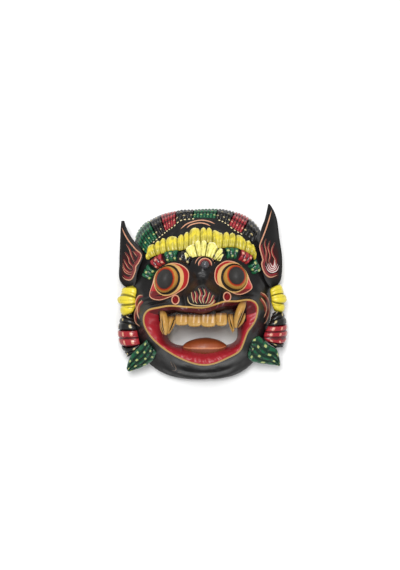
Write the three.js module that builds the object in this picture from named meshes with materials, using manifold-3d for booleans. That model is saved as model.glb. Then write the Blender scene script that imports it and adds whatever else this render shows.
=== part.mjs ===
// A wooden mask of a lion-like guardian spirit, as carved in Bali: one block of light wood with a
// gaping mouth, fangs, bulging eyes, a leafy crown and a ribbed hair band, hollowed out behind.
// It lies face up on its back rim. Millimetres, +Z out of the face, +Y towards the top of the head,
// +X to the viewer's right. The carving is by hand, so its two sides differ a little.
import * as THREE from "three";
import { mergeVertices } from "three/addons/utils/BufferGeometryUtils.js";
import Module from "manifold-3d";

const wasm = await Module();
wasm.setup();

// ---------- Driving dimensions ----------
const HEAD = { left: 87, right: 81, top: 96.5, bottom: 104, topPower: 3.1, bottomPower: 2.7 };
const DOME = { edge: 16, crown: 62, fall: 2.4, round: 0.62 };
const HOLLOW = { share: 0.86, roof: 46, mouthDrop: 24, mouthReach: 15 };
const RIM = { lift: 14, flatBeyond: 76, archWithin: 42, chamfer: 1.5, radius: 90 };
const MOUTH_CENTRE = new THREE.Vector2(0, -46);
const THROAT = { x: 0, y: -46, halfWidth: 41, halfHeight: 18, power: 3.6, z: 28, edge: 4 };
const ORIGIN = { x: -0.25, y: -1.3 };
const LIP = { flare: 6, reach: 8, lowerRoll: 2.2, upperRoll: 4 };
const SHELL = { around: 64, front: 12, inside: 5, behind: 4 };

// The edge of the lips, clockwise from under the nose.
const MOUTH_EDGE = [
  [0, -18.5], [12, -15.5], [24, -11.6], [38, -11.2], [50.5, -9.6], [59.3, -13], [61.8, -21.5],
  [58.3, -34.1], [50.1, -45.8], [45.8, -57], [40.5, -67.2], [27, -74.2], [11.3, -80.4], [-3, -81.2],
  [-20, -76.2], [-39.5, -66.4], [-55.6, -53.9], [-64.5, -40.8], [-66.2, -29.5], [-60.7, -21.3],
  [-49, -18.2], [-35.5, -16.3], [-18.6, -17.6],
];

// Swellings and dips of the face over its plain dome: centre, reach, rise, and how square they are.
const RELIEF = [
  { name: "muzzle", x: 0, y: -40, rx: 48, ry: 42, rise: 22, square: 1 },
  { name: "chin", x: 0, y: -76, rx: 42, ry: 20, rise: 14, square: 1 },
  { name: "chin roll", x: 0, y: -93, rx: 38, ry: 5.5, rise: 7, square: 1 },
  { name: "brow", x: 0, y: 38, rx: 58, ry: 16, rise: 8, square: 1 },
  { name: "nose bridge", x: 0, y: 14, rx: 10, ry: 20, rise: 9, square: 1 },
  { name: "nose tip", x: -1, y: -3.5, rx: 16, ry: 14, rise: 15.5, square: 2 },
  { name: "nose crest", x: -1, y: 7.5, rx: 9, ry: 6, rise: 4.5, square: 1 },
  { name: "left nostril wing", x: -28.5, y: -8.5, rx: 11, ry: 9, rise: 11, square: 1 },
  { name: "right nostril wing", x: 27, y: -5, rx: 11, ry: 9, rise: 11, square: 1 },
  { name: "left cheek", x: -60, y: -24, rx: 20, ry: 24, rise: 9, square: 1 },
  { name: "right cheek", x: 58, y: -20, rx: 20, ry: 24, rise: 9, square: 1 },
  { name: "left eye hollow", x: -40, y: 13, rx: 22, ry: 20, rise: -6, square: 1 },
  { name: "right eye hollow", x: 37, y: 16, rx: 22, ry: 20, rise: -6, square: 1 },
];

const EYES = [
  { x: -40.1, y: 13.6, rx: 14.6, ry: 16.2, tilt: -0.2, turn: -0.15 },
  { x: 36, y: 16.3, rx: 14.9, ry: 14.9, tilt: 0.2, turn: 0.1 },
];
const EYE = { seat: 52, rise: 21, under: 0.1 };

// ---------- Helpers ----------
const mix = (a, b, t) => a + (b - a) * t;
const clamp01 = (t) => Math.min(1, Math.max(0, t));
const smooth = (t) => clamp01(t) ** 2 * (3 - 2 * clamp01(t));
const superellipse = (x, y, power) => (Math.abs(x) ** power + Math.abs(y) ** power) ** (1 / power);

// A number read off an evenly spread list, t running from 0 to 1 along it.
function spread(list, t) {
  const place = clamp01(t) * (list.length - 1);
  const k = Math.min(list.length - 2, Math.floor(place));
  return mix(list[k], list[k + 1], place - k);
}

const curveOf = (points) =>
  new THREE.CatmullRomCurve3(points.map(([x, y, z = 0]) => new THREE.Vector3(x, y, z)));

// A geometry as a manifold solid with its faces outwards.
function solidOf(geometry) {
  const bare = geometry.clone();
  bare.deleteAttribute("normal");
  bare.deleteAttribute("uv");
  const merged = mergeVertices(bare, 1e-3);
  const vertProperties = new Float32Array(merged.attributes.position.array);
  const triVerts = new Uint32Array(merged.index.array);
  const made = new wasm.Manifold(new wasm.Mesh({ numProp: 3, vertProperties, triVerts }));
  if (made.volume() > 0) return made;
  for (let i = 0; i < triVerts.length; i += 3) {
    [triVerts[i + 1], triVerts[i + 2]] = [triVerts[i + 2], triVerts[i + 1]];
  }
  return new wasm.Manifold(new wasm.Mesh({ numProp: 3, vertProperties, triVerts }));
}

// A closed skin over rings of points, point(i, j) being point j of ring i. The rings are joined in
// order; the last meets the first if looped, and otherwise both ends are capped.
function skin(rings, around, point, looped = false) {
  const positions = [];
  const index = [];
  for (let i = 0; i < rings; i++) {
    for (let j = 0; j < around; j++) positions.push(...point(i, j));
  }
  for (let i = 0; i < (looped ? rings : rings - 1); i++) {
    for (let j = 0; j < around; j++) {
      const a = i * around + j;
      const b = i * around + ((j + 1) % around);
      const c = ((i + 1) % rings) * around + ((j + 1) % around);
      const d = ((i + 1) % rings) * around + j;
      index.push(a, b, c, a, c, d);
    }
  }
  if (!looped) {
    for (const ring of [0, rings - 1]) {
      const centre = [0, 1, 2].map((k) => {
        let sum = 0;
        for (let j = 0; j < around; j++) sum += positions[(ring * around + j) * 3 + k];
        return sum / around;
      });
      const hub = positions.length / 3;
      positions.push(...centre);
      for (let j = 0; j < around; j++) {
        const a = ring * around + j;
        const b = ring * around + ((j + 1) % around);
        index.push(...(ring === 0 ? [hub, b, a] : [hub, a, b]));
      }
    }
  }
  const geometry = new THREE.BufferGeometry();
  geometry.setAttribute("position", new THREE.Float32BufferAttribute(positions, 3));
  geometry.setIndex(index);
  return geometry;
}

// Matching points of two edges given in plan, evenly spaced along the first. The heights are lists
// spread along the edges, or surfaces that they lie on.
function edgeRows(edgeA, edgeB, heightA, heightB, stations) {
  const [a, b] = [curveOf(edgeA), curveOf(edgeB)];
  const place = (curve, height, t, u) => {
    const p = curve.getPoint(u);
    return p.setZ(typeof height === "function" ? height(p.x, p.y) : spread(height, t));
  };
  return Array.from({ length: stations }, (_, i) => {
    const t = i / (stations - 1);
    const u = a.getUtoTmapping(t);
    return { t, a: place(a, heightA, t, u), b: place(b, heightB, t, u) };
  });
}

// A swelling between two edges. It rises square to both by rise sin(pi s)^arch, less the cuts
// between its ribs and its lanes, and reaches down under its edges into the wood.
function block(rows, form) {
  const { around, rise, arch = 0.6, under, ribs = 0, depth = 0, lanes = 0, laneDepth = 0, drape } = form;
  return skin(rows.length, around + 2, (i, j) => {
    const { t, a, b } = rows[i];
    const before = rows[Math.max(0, i - 1)];
    const after = rows[Math.min(rows.length - 1, i + 1)];
    const along = after.a.clone().add(after.b).sub(before.a).sub(before.b);
    const out = along.cross(b.clone().sub(a)).normalize();
    if (out.z < 0) out.negate();
    const above = j < around;
    const s = above ? (1 - Math.cos((Math.PI * j) / (around - 1))) / 2 : around + 1 - j;
    const ends = i === 0 || i === rows.length - 1 ? 0.6 : 1;
    const rib = depth * (1 - Math.abs(Math.sin(Math.PI * ribs * t)) ** 0.5);
    const inside = s > 0.1 && s < 0.9;
    const lane = inside ? laneDepth * (1 - Math.abs(Math.sin(Math.PI * lanes * s)) ** 0.5) : 0;
    const p = a.clone().lerp(b, s);
    if (drape) p.z = drape(p.x, p.y);
    p.addScaledVector(out, rise * ends * Math.sin(Math.PI * s) ** arch - rib - lane);
    return [p.x, p.y, above ? p.z : p.z - under];
  });
}

// An ellipsoid: its half sizes, then turned about X, Y and Z, then moved. Its lower half can be
// flattened, so that it sits in the face and doesn't come through behind.
function ellipsoid(size, at, turn = [0, 0, 0], segments = 8, bands = 5, under = 1) {
  const ball = new THREE.SphereGeometry(1, segments, bands);
  ball.rotateX(Math.PI / 2);
  const position = ball.attributes.position;
  for (let k = 0; k < position.count; k++) {
    if (position.getZ(k) < 0) position.setZ(k, position.getZ(k) * under);
  }
  ball.scale(...size);
  ball.rotateX(turn[0]).rotateY(turn[1]).rotateZ(turn[2]);
  ball.translate(...at);
  return ball;
}

// ---------- The face as a height over the plan ----------
// 0 at the middle of the head and 1 on its outline.
function headShare(x, y) {
  const power = y > 0 ? HEAD.topPower : HEAD.bottomPower;
  const [a, b] = [x < 0 ? HEAD.left : HEAD.right, y > 0 ? HEAD.top : HEAD.bottom];
  return superellipse(x / a, y / b, power);
}

const mouthCurve = new THREE.CatmullRomCurve3(curveOf(MOUTH_EDGE).points, true, "centripetal");
const mouthPolar = mouthCurve
  .getPoints(400)
  .map((p) => {
    const dx = p.x - MOUTH_CENTRE.x;
    const dy = p.y - MOUTH_CENTRE.y;
    return { angle: Math.atan2(dy, dx), radius: Math.hypot(dx, dy) };
  })
  .sort((a, b) => a.angle - b.angle);

// How far the lip edge lies from the middle of the mouth, in a direction.
function mouthRadius(angle) {
  const after = mouthPolar.findIndex((p) => p.angle >= angle);
  const b = mouthPolar[after < 0 ? 0 : after];
  const a = mouthPolar[(after <= 0 ? mouthPolar.length : after) - 1];
  const turn = 2 * Math.PI;
  const span = (b.angle - a.angle + turn) % turn || 1;
  return mix(a.radius, b.radius, clamp01(((angle - a.angle + turn) % turn) / span));
}

function faceHeight(x, y) {
  const share = Math.min(1, headShare(x, y));
  let z = DOME.edge + (DOME.crown - DOME.edge) * (1 - share ** DOME.fall) ** DOME.round;
  const fade = smooth((1 - share) / 0.12);
  for (const r of RELIEF) {
    const far = ((x - r.x) / r.rx) ** 2 + ((y - r.y) / r.ry) ** 2;
    z += fade * r.rise * Math.exp(-(far ** r.square));
  }
  const dx = x - MOUTH_CENTRE.x;
  const dy = y - MOUTH_CENTRE.y;
  const fromLip = Math.max(0, Math.hypot(dx, dy) - mouthRadius(Math.atan2(dy, dx)));
  return z + fade * LIP.flare * Math.exp(-((fromLip / LIP.reach) ** 2));
}

function hollowHeight(x, y) {
  const share = Math.min(1, headShare(x, y) / HOLLOW.share);
  const roof = HOLLOW.roof * (1 - share ** DOME.fall) ** DOME.round;
  const fromThroat =
    superellipse((x - THROAT.x) / THROAT.halfWidth, (y - THROAT.y) / THROAT.halfHeight, THROAT.power) - 1;
  const near = Math.exp(-(((Math.max(0, fromThroat) * THROAT.halfHeight) / HOLLOW.mouthReach) ** 2));
  return mix(roof, Math.min(roof, THROAT.z - THROAT.edge), near);
}

// The rim is flat on the table at the crown and the chin, and arches up between them.
const rimHeight = (y) =>
  RIM.lift * (1 - smooth((Math.abs(y) - RIM.archWithin) / (RIM.flatBeyond - RIM.archWithin)));

// ---------- The hollow face, from the outline to the lips, into the mouth and out behind ----------
// A point of the head's outline in a direction from the middle of the mouth.
function outlinePoint(angle, share = 1) {
  const [ux, uy] = [Math.cos(angle), Math.sin(angle)];
  let [low, high] = [0, 260];
  for (let k = 0; k < 40; k++) {
    const middle = (low + high) / 2;
    const inside = headShare(MOUTH_CENTRE.x + ux * middle, MOUTH_CENTRE.y + uy * middle) < share;
    [low, high] = inside ? [middle, high] : [low, middle];
  }
  return [MOUTH_CENTRE.x + ux * low, MOUTH_CENTRE.y + uy * low];
}

// Directions from the mouth whose outline points are evenly spaced.
function evenDirections(count) {
  const fine = 1440;
  const angles = Array.from({ length: fine + 1 }, (_, k) => -Math.PI / 2 + (2 * Math.PI * k) / fine);
  const points = angles.map((a) => outlinePoint(a));
  const along = [0];
  for (let k = 1; k <= fine; k++) {
    const [dx, dy] = [points[k][0] - points[k - 1][0], points[k][1] - points[k - 1][1]];
    along.push(along[k - 1] + Math.hypot(dx, dy));
  }
  return Array.from({ length: count }, (_, i) => {
    const want = (along[fine] * i) / count;
    const k = along.findIndex((s) => s >= want);
    if (k <= 0) return angles[0];
    return mix(angles[k - 1], angles[k], (want - along[k - 1]) / (along[k] - along[k - 1]));
  });
}

function shellProfile(angle) {
  const outer = outlinePoint(angle);
  const rim = outlinePoint(angle, HOLLOW.share);
  const foot = rimHeight(outer[1]);
  const radius = mouthRadius(Math.atan2(Math.sin(angle), Math.cos(angle)));
  const lip = [MOUTH_CENTRE.x + Math.cos(angle) * radius, MOUTH_CENTRE.y + Math.sin(angle) * radius];
  const tx = Math.cos(angle);
  const ty = Math.sin(angle);
  const throatRadius = 1 / superellipse(tx / THROAT.halfWidth, ty / THROAT.halfHeight, THROAT.power);
  const throat = [THROAT.x + tx * throatRadius, THROAT.y + ty * throatRadius];
  const roll = mix(LIP.lowerRoll, LIP.upperRoll, smooth((Math.sin(angle) + 0.2) / 1.1));
  const points = [];
  const chamfered = outlinePoint(angle, 1 - RIM.chamfer / RIM.radius);
  points.push([...chamfered, foot], [...outer, foot + RIM.chamfer]);
  for (let k = 0; k <= SHELL.front; k++) {
    const t = (k / SHELL.front) ** 1.35;
    const x = mix(outer[0], lip[0], t);
    const y = mix(outer[1], lip[1], t);
    points.push([x, y, faceHeight(x, y)]);
  }
  const lipHeight = faceHeight(...lip);
  for (let k = 1; k <= SHELL.inside; k++) {
    const t = k / SHELL.inside;
    const drop = (lipHeight - THROAT.z) * t ** roll;
    points.push([mix(lip[0], throat[0], t), mix(lip[1], throat[1], t), lipHeight - drop]);
  }
  for (let k = 0; k < SHELL.behind; k++) {
    const t = k / SHELL.behind;
    const x = mix(throat[0], rim[0], t);
    const y = mix(throat[1], rim[1], t);
    points.push([x, y, Math.max(foot + 1, hollowHeight(x, y))]);
  }
  points.push([...rim, foot]);
  return points;
}

function hollowFace() {
  const profiles = evenDirections(SHELL.around).map(shellProfile);
  return skin(SHELL.around, profiles[0].length, (i, j) => profiles[i][j], true);
}

// ---------- Hair band along the top of the head ----------
const BAND_OUTER = [
  [-79.5, 64], [-75, 73.5], [-67, 82], [-56, 87], [-46, 91.5], [-35.5, 94], [-24.5, 96], [-12, 96],
  [2.5, 97], [15, 97.5], [25.5, 97], [36.5, 94.5], [46, 92], [56, 86.5], [62, 80.5], [66.5, 74],
];
const BAND_INNER = [
  [-64, 42.5], [-62, 53], [-55.5, 59.5], [-47, 66.5], [-41, 71.5], [-34.5, 76], [-26, 83.5], [-13.5, 85.5],
  [0, 86], [11.5, 85.5], [21, 83.5], [29, 79], [36.5, 72.5], [45.5, 67.5], [52.5, 63.5], [59, 56],
];
const BAND = {
  heights: [12, 14, 16, 17, 17, 17, 16, 15, 14],
  stations: 33,
  form: { around: 6, rise: 4, arch: 0.5, under: 8, drape: faceHeight },
};

const hairBand = () =>
  block(edgeRows(BAND_OUTER, BAND_INNER, BAND.heights, faceHeight, BAND.stations), BAND.form);

// ---------- Ears: pointed leaves with a dished front, leaning out from the temples ----------
// Two edges of each from the tip down, and their heights spread along them.
const EARS = [
  {
    a: [[-95, 83], [-96, 74], [-96.5, 63], [-97, 52], [-97.5, 42], [-97.8, 31], [-98.4, 22], [-97.6, 14],
      [-94, 8], [-88.5, 4]],
    b: [[-91.5, 83], [-88.5, 74], [-83, 64], [-77, 56], [-71, 48.5], [-68.5, 40], [-72.5, 30], [-75.5, 21],
      [-77, 13], [-79, 7], [-82.5, 3]],
    za: [30, 29, 27, 25, 23, 20],
    zb: [31, 38, 46, 50, 48, 34],
  },
  {
    a: [[75.7, 101.4], [74, 93], [71.5, 83], [68, 74], [66, 64], [65, 54], [67, 43], [68, 32], [69.5, 23],
      [72, 15], [75.5, 9], [79.5, 5]],
    b: [[78, 101.4], [82.8, 93.5], [86.2, 84], [88, 73], [89.5, 62], [91.3, 52], [92.8, 42], [93.4, 31],
      [93.2, 22], [92, 14], [89, 8.5], [84.5, 4]],
    za: [44, 46, 47, 47, 44, 33],
    zb: [43, 40, 36, 31, 26, 20],
  },
];
const EAR = { stations: 12, half: 5, dish: 0.12, tip: 3, root: 11, narrowing: 0.97 };

function ear({ a, b, za, zb }) {
  const rows = edgeRows(a, b, za, zb, EAR.stations);
  return skin(EAR.stations, (EAR.half + 1) * 2, (i, j) => {
    const row = rows[i];
    const front = j <= EAR.half;
    const s = front ? j / EAR.half : 1 - (j - EAR.half - 1) / EAR.half;
    const p = row.a.clone().lerp(row.b, s);
    p.z -= EAR.dish * row.a.distanceTo(row.b) * Math.sin(Math.PI * s) ** 0.8;
    if (front) return [p.x, p.y, p.z];
    const centre = row.a.clone().lerp(row.b, 0.5);
    const deep = (EAR.tip + EAR.root * smooth(row.t / 0.8)) * Math.sin(Math.PI * mix(0.08, 0.92, s)) ** 0.3;
    return [mix(centre.x, p.x, EAR.narrowing), mix(centre.y, p.y, EAR.narrowing), p.z - deep];
  });
}

// ---------- Crown: a frill of fluted leaves over the brow, and a palmette before its middle ----------
const FRILL = {
  top: [[-64.5, 39], [-62.5, 51], [-51, 58], [-45, 61], [-38, 62.5], [-30, 63.5], [-21.5, 66], [-16, 69.5],
    [-11, 72.5], [-3, 73], [6.5, 73], [13.5, 71], [19, 67.5], [24.5, 68], [34, 67], [40.5, 65.5],
    [48.5, 60.5], [55, 57], [59.5, 51.5], [61, 45], [60, 38.5]],
  foot: [[-62, 36.5], [-58, 40], [-50, 42.5], [-43.5, 44.5], [-37, 46], [-29, 46.5], [-21, 48], [-16, 50],
    [-10, 54], [-2, 56], [6, 56], [13, 53], [18.5, 49.5], [23, 50], [32, 51], [40, 50],
    [47, 46.5], [53, 43.5], [57, 41.5], [58.5, 39.5], [59, 36.5]],
  lift: [3, 3],
  leaves: 17,
  reach: 2.6,
  form: { around: 5, rise: 3.6, under: 7, depth: 1.9 },
};
const PALMETTE = {
  top: [[-19, 38.5], [-20, 44], [-18, 49.5], [-13, 52.5], [-9.5, 56.5], [-1.5, 58], [6, 57], [13, 55],
    [17, 51], [21.5, 48], [23, 42], [19.5, 35]],
  foot: [[-17.5, 38], [-15.5, 38], [-12.5, 38.5], [-9, 39.5], [-5.5, 40], [-1.5, 40.5], [3, 40.3],
    [7, 39.5], [10.5, 38], [13.5, 36.5], [16, 35.5], [18.5, 34.8]],
  lift: [6.5, 4],
  leaves: 7,
  reach: 2.4,
  form: { around: 5, rise: 2.8, under: 7, depth: 1.9 },
};

// Leaves side by side between two edges, each one ending round.
function leaves({ top, foot, lift, leaves: count, reach, form }) {
  const [rise, low] = lift;
  const over = (lifted) => (x, y) => faceHeight(x, y) + lifted;
  const rows = edgeRows(top, foot, over(rise), over(low), count * 2 + 1);
  for (const { t, a, b } of rows) {
    const out = a.clone().sub(b).setZ(0).normalize();
    a.addScaledVector(out, reach * (Math.abs(Math.sin(Math.PI * count * t)) ** 0.6 - 0.6));
  }
  return block(rows, { ...form, ribs: count });
}

// ---------- Brows: rows of rounded blocks over the eyes ----------
const BROWS = [
  [[-11.5, 34.5], [-20, 38.8], [-30, 41.2], [-40, 39.8], [-50, 35.4], [-58.5, 27.2], [-65.5, 14.5]],
  [[9.5, 38], [18, 42], [28, 44], [38, 43.6], [48.5, 39.6], [57, 32.5], [63.2, 21]],
];
const BROW = { blocks: 4, halfWidth: 6, rise: 5, notch: 0.3, sink: 3 };

function browRoll(points) {
  const path = curveOf(points);
  const stations = BROW.blocks * 4 + 1;
  return skin(stations, 7, (i, j) => {
    const t = i / (stations - 1);
    const { x, y } = path.getPointAt(t);
    const along = path.getTangentAt(t);
    const inBlock = Math.abs(((t * BROW.blocks) % 1) - 0.5) * 2;
    const size = (1 - BROW.notch * inBlock ** 4) * (i === 0 || i === stations - 1 ? 0.7 : 1);
    const around = (j / 7) * 2 * Math.PI;
    const side = Math.cos(around) * BROW.halfWidth * size;
    const px = x - along.y * side;
    const py = y + along.x * side;
    const up = Math.sin(around);
    return [px, py, faceHeight(x, y) + (up > 0 ? up * BROW.rise * size : up * BROW.sink)];
  });
}

// ---------- Eyes: bulging domes in almond-shaped sockets ----------
const SOCKETS = [
  [[-15.5, 17], [-17, 25], [-25.5, 31.5], [-36, 32.8], [-47, 28], [-54, 21], [-57.5, 10], [-60.8, -5],
    [-50.5, -9.2], [-38, -4.8], [-26.5, 1.8], [-18.5, 7.5]],
  [[13.4, 18], [15.6, 27.6], [23.5, 34.2], [31, 35.4], [39.5, 33], [47, 27.2], [51.5, 20.5], [54.2, 13.5],
    [56.8, 4], [46, -2.6], [36.5, -2.3], [25, 3.8], [16, 9.6]],
];
const SOCKET = { rim: 2.2, sink: 4 };

function socketRim(points) {
  const edge = new THREE.CatmullRomCurve3(curveOf(points).points, true, "centripetal");
  const around = 16;
  const share = 1 / points.length;
  const centre = points.reduce((sum, [x, y]) => [sum[0] + x * share, sum[1] + y * share], [0, 0]);
  const rings = [[1.03, -SOCKET.sink], [0.98, SOCKET.rim], [0.8, 0.4]];
  return skin(rings.length, around, (i, j) => {
    const [out, rise] = rings[i];
    const p = edge.getPointAt(j / around);
    const [x, y] = [mix(centre[0], p.x, out), mix(centre[1], p.y, out)];
    return [x, y, faceHeight(x, y) + rise];
  });
}

function* eyeDomes() {
  for (const eye of EYES) {
    const size = [eye.rx, eye.ry, EYE.rise];
    yield ellipsoid(size, [eye.x, eye.y, EYE.seat], [0, eye.tilt, eye.turn], 14, 9, EYE.under);
  }
}

// ---------- Nostrils and the small boss between the brows ----------
const NOSTRILS = [[-30.6, -8.7], [27.4, -5.3]];
const NOSTRIL = [3, 3.6, 6];
const BOSS = { x: 2.7, y: 30.6, radius: 5.6 };
const NOSE_TIP = { x: -1, y: 3.5, size: [9, 8, 12], proud: 1.7 };

const noseTip = () => {
  const top = faceHeight(NOSE_TIP.x, NOSE_TIP.y) + NOSE_TIP.proud;
  return ellipsoid(NOSE_TIP.size, [NOSE_TIP.x, NOSE_TIP.y, top - NOSE_TIP.size[2]], [0, 0, 0], 10, 6);
};

function* nostrilHoles() {
  for (const [x, y] of NOSTRILS) {
    yield ellipsoid(NOSTRIL, [x, y, faceHeight(x, y) + 1]);
  }
}

// ---------- Teeth, fangs and tongue ----------
// Front teeth as [left x, right x, root y, edge y]; they stand on an arc below the upper lip.
const FRONT_TEETH = [
  [-30.4, -16.6, -25.4, -37.9], [-16.3, -1.9, -25.6, -39.2],
  [-1.5, 14.2, -25.2, -39.5], [14.5, 27.2, -23.6, -38.4],
];
const TEETH = { z: 75, arc: 130, thickness: 5.5 };

function frontTooth([left, right, root, edge]) {
  const middle = (left + right) / 2;
  const z = TEETH.z - (middle * middle) / TEETH.arc;
  const levels = [[0, 0.96, 0.9], [0.75, 1.03, 1], [1, 0.6, 0.5]];
  return skin(levels.length, 8, (i, j) => {
    const [down, wide, thick] = levels[i];
    const a = ((j + 0.5) / 8) * 2 * Math.PI;
    const square = 1 / superellipse(Math.cos(a), Math.sin(a), 3.2);
    const x = middle + ((right - left) / 2) * wide * square * Math.cos(a);
    return [x, mix(root, edge, down), z + TEETH.thickness * thick * square * Math.sin(a)];
  });
}

// A fang is a bent cone along points of [x, y, z, half width].
const FANGS = [
  [[-45.6, -20.6, 68, 3], [-44.2, -26, 73, 4], [-42.8, -34, 76, 4.6], [-42.2, -41, 75, 3.8],
    [-41.6, -48.5, 72, 1.3]],
  [[46, -10.6, 70, 3.4], [43.6, -17, 75, 4.6], [40.6, -25, 77, 4.6], [38.6, -32.5, 76, 3.6],
    [37.2, -40.5, 73, 1.3]],
  [[-35.2, -27.5, 67, 4.2], [-36.4, -33, 70, 3.6], [-38.2, -40, 71, 2.4], [-39.6, -47, 69, 0.9]],
  [[31.2, -25, 67, 3.4], [32, -31, 70, 3], [33.6, -38, 70, 2], [35, -44.6, 68, 0.8]],
];
const FANG = { stations: 6, around: 7, thinnest: 1.6, thickening: 0.4 };

function fang(points) {
  const centre = curveOf(points);
  const widths = curveOf(points.map((p, k) => [k, p[3]]));
  return skin(FANG.stations, FANG.around, (i, j) => {
    const t = i / (FANG.stations - 1);
    const c = centre.getPoint(t);
    const w = widths.getPoint(t).y;
    const a = (j / FANG.around) * 2 * Math.PI;
    return [c.x + w * Math.cos(a), c.y, c.z + (FANG.thickening * w + FANG.thinnest) * 1.15 * Math.sin(a)];
  });
}

const TONGUE = {
  top: [[-23.5, -63], [-18.5, -58.8], [-9, -55], [3, -53.4], [14, -54.8], [22, -58], [28, -62]],
  foot: [[-23, -64.4], [-18, -68.8], [-9, -71.6], [3, -72.4], [14, -71.6], [22, -68.8], [27.6, -63.4]],
  heights: [[46, 48, 49, 48, 46], [54, 59, 60, 59, 54]],
  form: { around: 6, rise: 7.5, arch: 0.7, under: 14 },
};

const tongue = () => block(edgeRows(TONGUE.top, TONGUE.foot, ...TONGUE.heights, 9), TONGUE.form);

// ---------- Side trim: gilt ear flowers, tied hair rolls and leaf-shaped hair ends ----------
// Each as an outer and an inner edge, from the top down, with their heights.
const FLOWER_FORM = { around: 6, rise: 8.8, arch: 0.5, under: 10, ribs: 3, depth: 2.6 };
const FLOWERS = [
  {
    outer: [[-89, 6.3], [-93.5, 3.5], [-94, -1], [-93.6, -3.8], [-97.2, -6], [-99.6, -9], [-98, -12.6],
      [-94.5, -17], [-95, -20.5], [-93.5, -24.5], [-88, -27]],
    inner: [[-84, 6.3], [-77.5, 4], [-76.8, -1], [-78, -4], [-78, -6.5], [-78.2, -9], [-78, -12.6],
      [-78.5, -17], [-80, -20.5], [-81.5, -23.5], [-86, -26.7]],
    heights: [[19, 23, 23, 19], [36, 39, 39, 34]],
  },
  {
    outer: [[86.5, 6.8], [91.5, 3.8], [93, -0.5], [94, -3.6], [97, -7], [97.4, -10.3], [94.5, -13.2],
      [93.3, -15.5], [94, -18.5], [92, -22], [88.5, -23.8]],
    inner: [[82.5, 6], [79.5, 3], [79.3, -0.5], [79.8, -3.6], [80.2, -6.5], [80.8, -10], [80.8, -13],
      [81.5, -15.5], [82.5, -18], [84, -21], [87, -23.4]],
    heights: [[19, 23, 23, 19], [36, 39, 39, 34]],
  },
];
const ROLL_FORM = { around: 8, rise: 10.6, arch: 0.62, under: 7.5 };
const HAIR_ROLLS = [
  {
    outer: [[-90.5, -27], [-95.5, -32.5], [-98.4, -40], [-99.2, -47.5], [-98.8, -55], [-96.2, -62],
      [-91, -68.5], [-82.5, -74]],
    inner: [[-84, -28.5], [-79.5, -34], [-77.5, -40], [-76, -47.5], [-74.5, -54.5], [-73, -61.5],
      [-74, -67], [-79, -72.5]],
    heights: [[15, 19, 19, 15], [29, 36, 37, 30]],
  },
  {
    outer: [[87, -23.5], [93, -26.5], [97.5, -33.5], [99.2, -42], [99.6, -50], [97.8, -57], [93.5, -62.5],
      [88, -66.5]],
    inner: [[83, -25], [81, -30], [78.5, -36.5], [74.5, -44], [71.5, -51], [73, -56], [79, -61.5],
      [86, -66]],
    heights: [[15, 19, 19, 15], [29, 36, 37, 30]],
  },
];
const END_FORM = { around: 9, rise: 5.5, arch: 0.5, under: 14, lanes: 4, laneDepth: 2.2 };
const HAIR_ENDS = [
  {
    outer: [[-64, -54.6], [-70.5, -60.8], [-77.5, -67.5], [-83.6, -74], [-87, -81.5], [-89.2, -89.4]],
    inner: [[-52, -69], [-54.6, -74.5], [-58.5, -80.5], [-66.5, -86.3], [-76.5, -90.5], [-86.4, -93.4]],
    heights: [[47, 40, 33, 28], [47, 37, 30, 27]],
  },
  {
    outer: [[54, -54], [64.5, -51.3], [73, -58.3], [80, -63.8], [86.8, -67.5], [89.4, -75], [91, -84.5]],
    inner: [[52.3, -69.5], [52.8, -76], [57.5, -81], [65.5, -83.4], [75.5, -85], [83.5, -86], [90, -86.8]],
    heights: [[47, 40, 33, 28], [47, 37, 30, 27]],
  },
];

const trim = ({ outer, inner, heights }, form, stations) =>
  block(edgeRows(outer, inner, ...heights, stations), form);

// ---------- One carving ----------
function carve() {
  const added = [
    hairBand(),
    ...EARS.map(ear),
    leaves(FRILL),
    leaves(PALMETTE),
    ...BROWS.map(browRoll),
    ...SOCKETS.map(socketRim),
    ...eyeDomes(),
    noseTip(),
    ellipsoid(Array(3).fill(BOSS.radius), [BOSS.x, BOSS.y, faceHeight(BOSS.x, BOSS.y) + 1]),
    ...FRONT_TEETH.map(frontTooth),
    ...FANGS.map(fang),
    tongue(),
    ...FLOWERS.map((flower) => trim(flower, FLOWER_FORM, 13)),
    ...HAIR_ROLLS.map((roll) => trim(roll, ROLL_FORM, 13)),
    ...HAIR_ENDS.map((end) => trim(end, END_FORM, 7)),
  ];
  let carving = solidOf(hollowFace());
  for (const geometry of added) carving = carving.add(solidOf(geometry));
  for (const hole of nostrilHoles()) carving = carving.subtract(solidOf(hole));
  // Only the outer skin is kept, so no pocket between two swellings stays sealed inside.
  const bodies = carving.simplify(0.2).decompose();
  return bodies.reduce((largest, body) => (body.volume() > largest.volume() ? body : largest));
}

const carved = carve().getMesh();
const geometry = new THREE.BufferGeometry();
geometry.setAttribute("position", new THREE.BufferAttribute(new Float32Array(carved.vertProperties), 3));
geometry.setIndex(new THREE.BufferAttribute(new Uint32Array(carved.triVerts), 1));
geometry.computeVertexNormals();

const mask = new THREE.Mesh(
  geometry,
  new THREE.MeshStandardMaterial({ color: "#232122", roughness: 0.42, metalness: 0 }),
);
mask.name = "mask";

// The origin is on the table under the middle of the mask.
mask.position.set(-ORIGIN.x, -ORIGIN.y, 0);

const part = new THREE.Group();
part.add(mask);

export default part;
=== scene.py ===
"""A painted wooden mask of a lion-like guardian spirit, carved in one block and hollowed out behind.
It lies face up on a pale table. Lengths below are in millimetres until a mesh is made."""

import math

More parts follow.
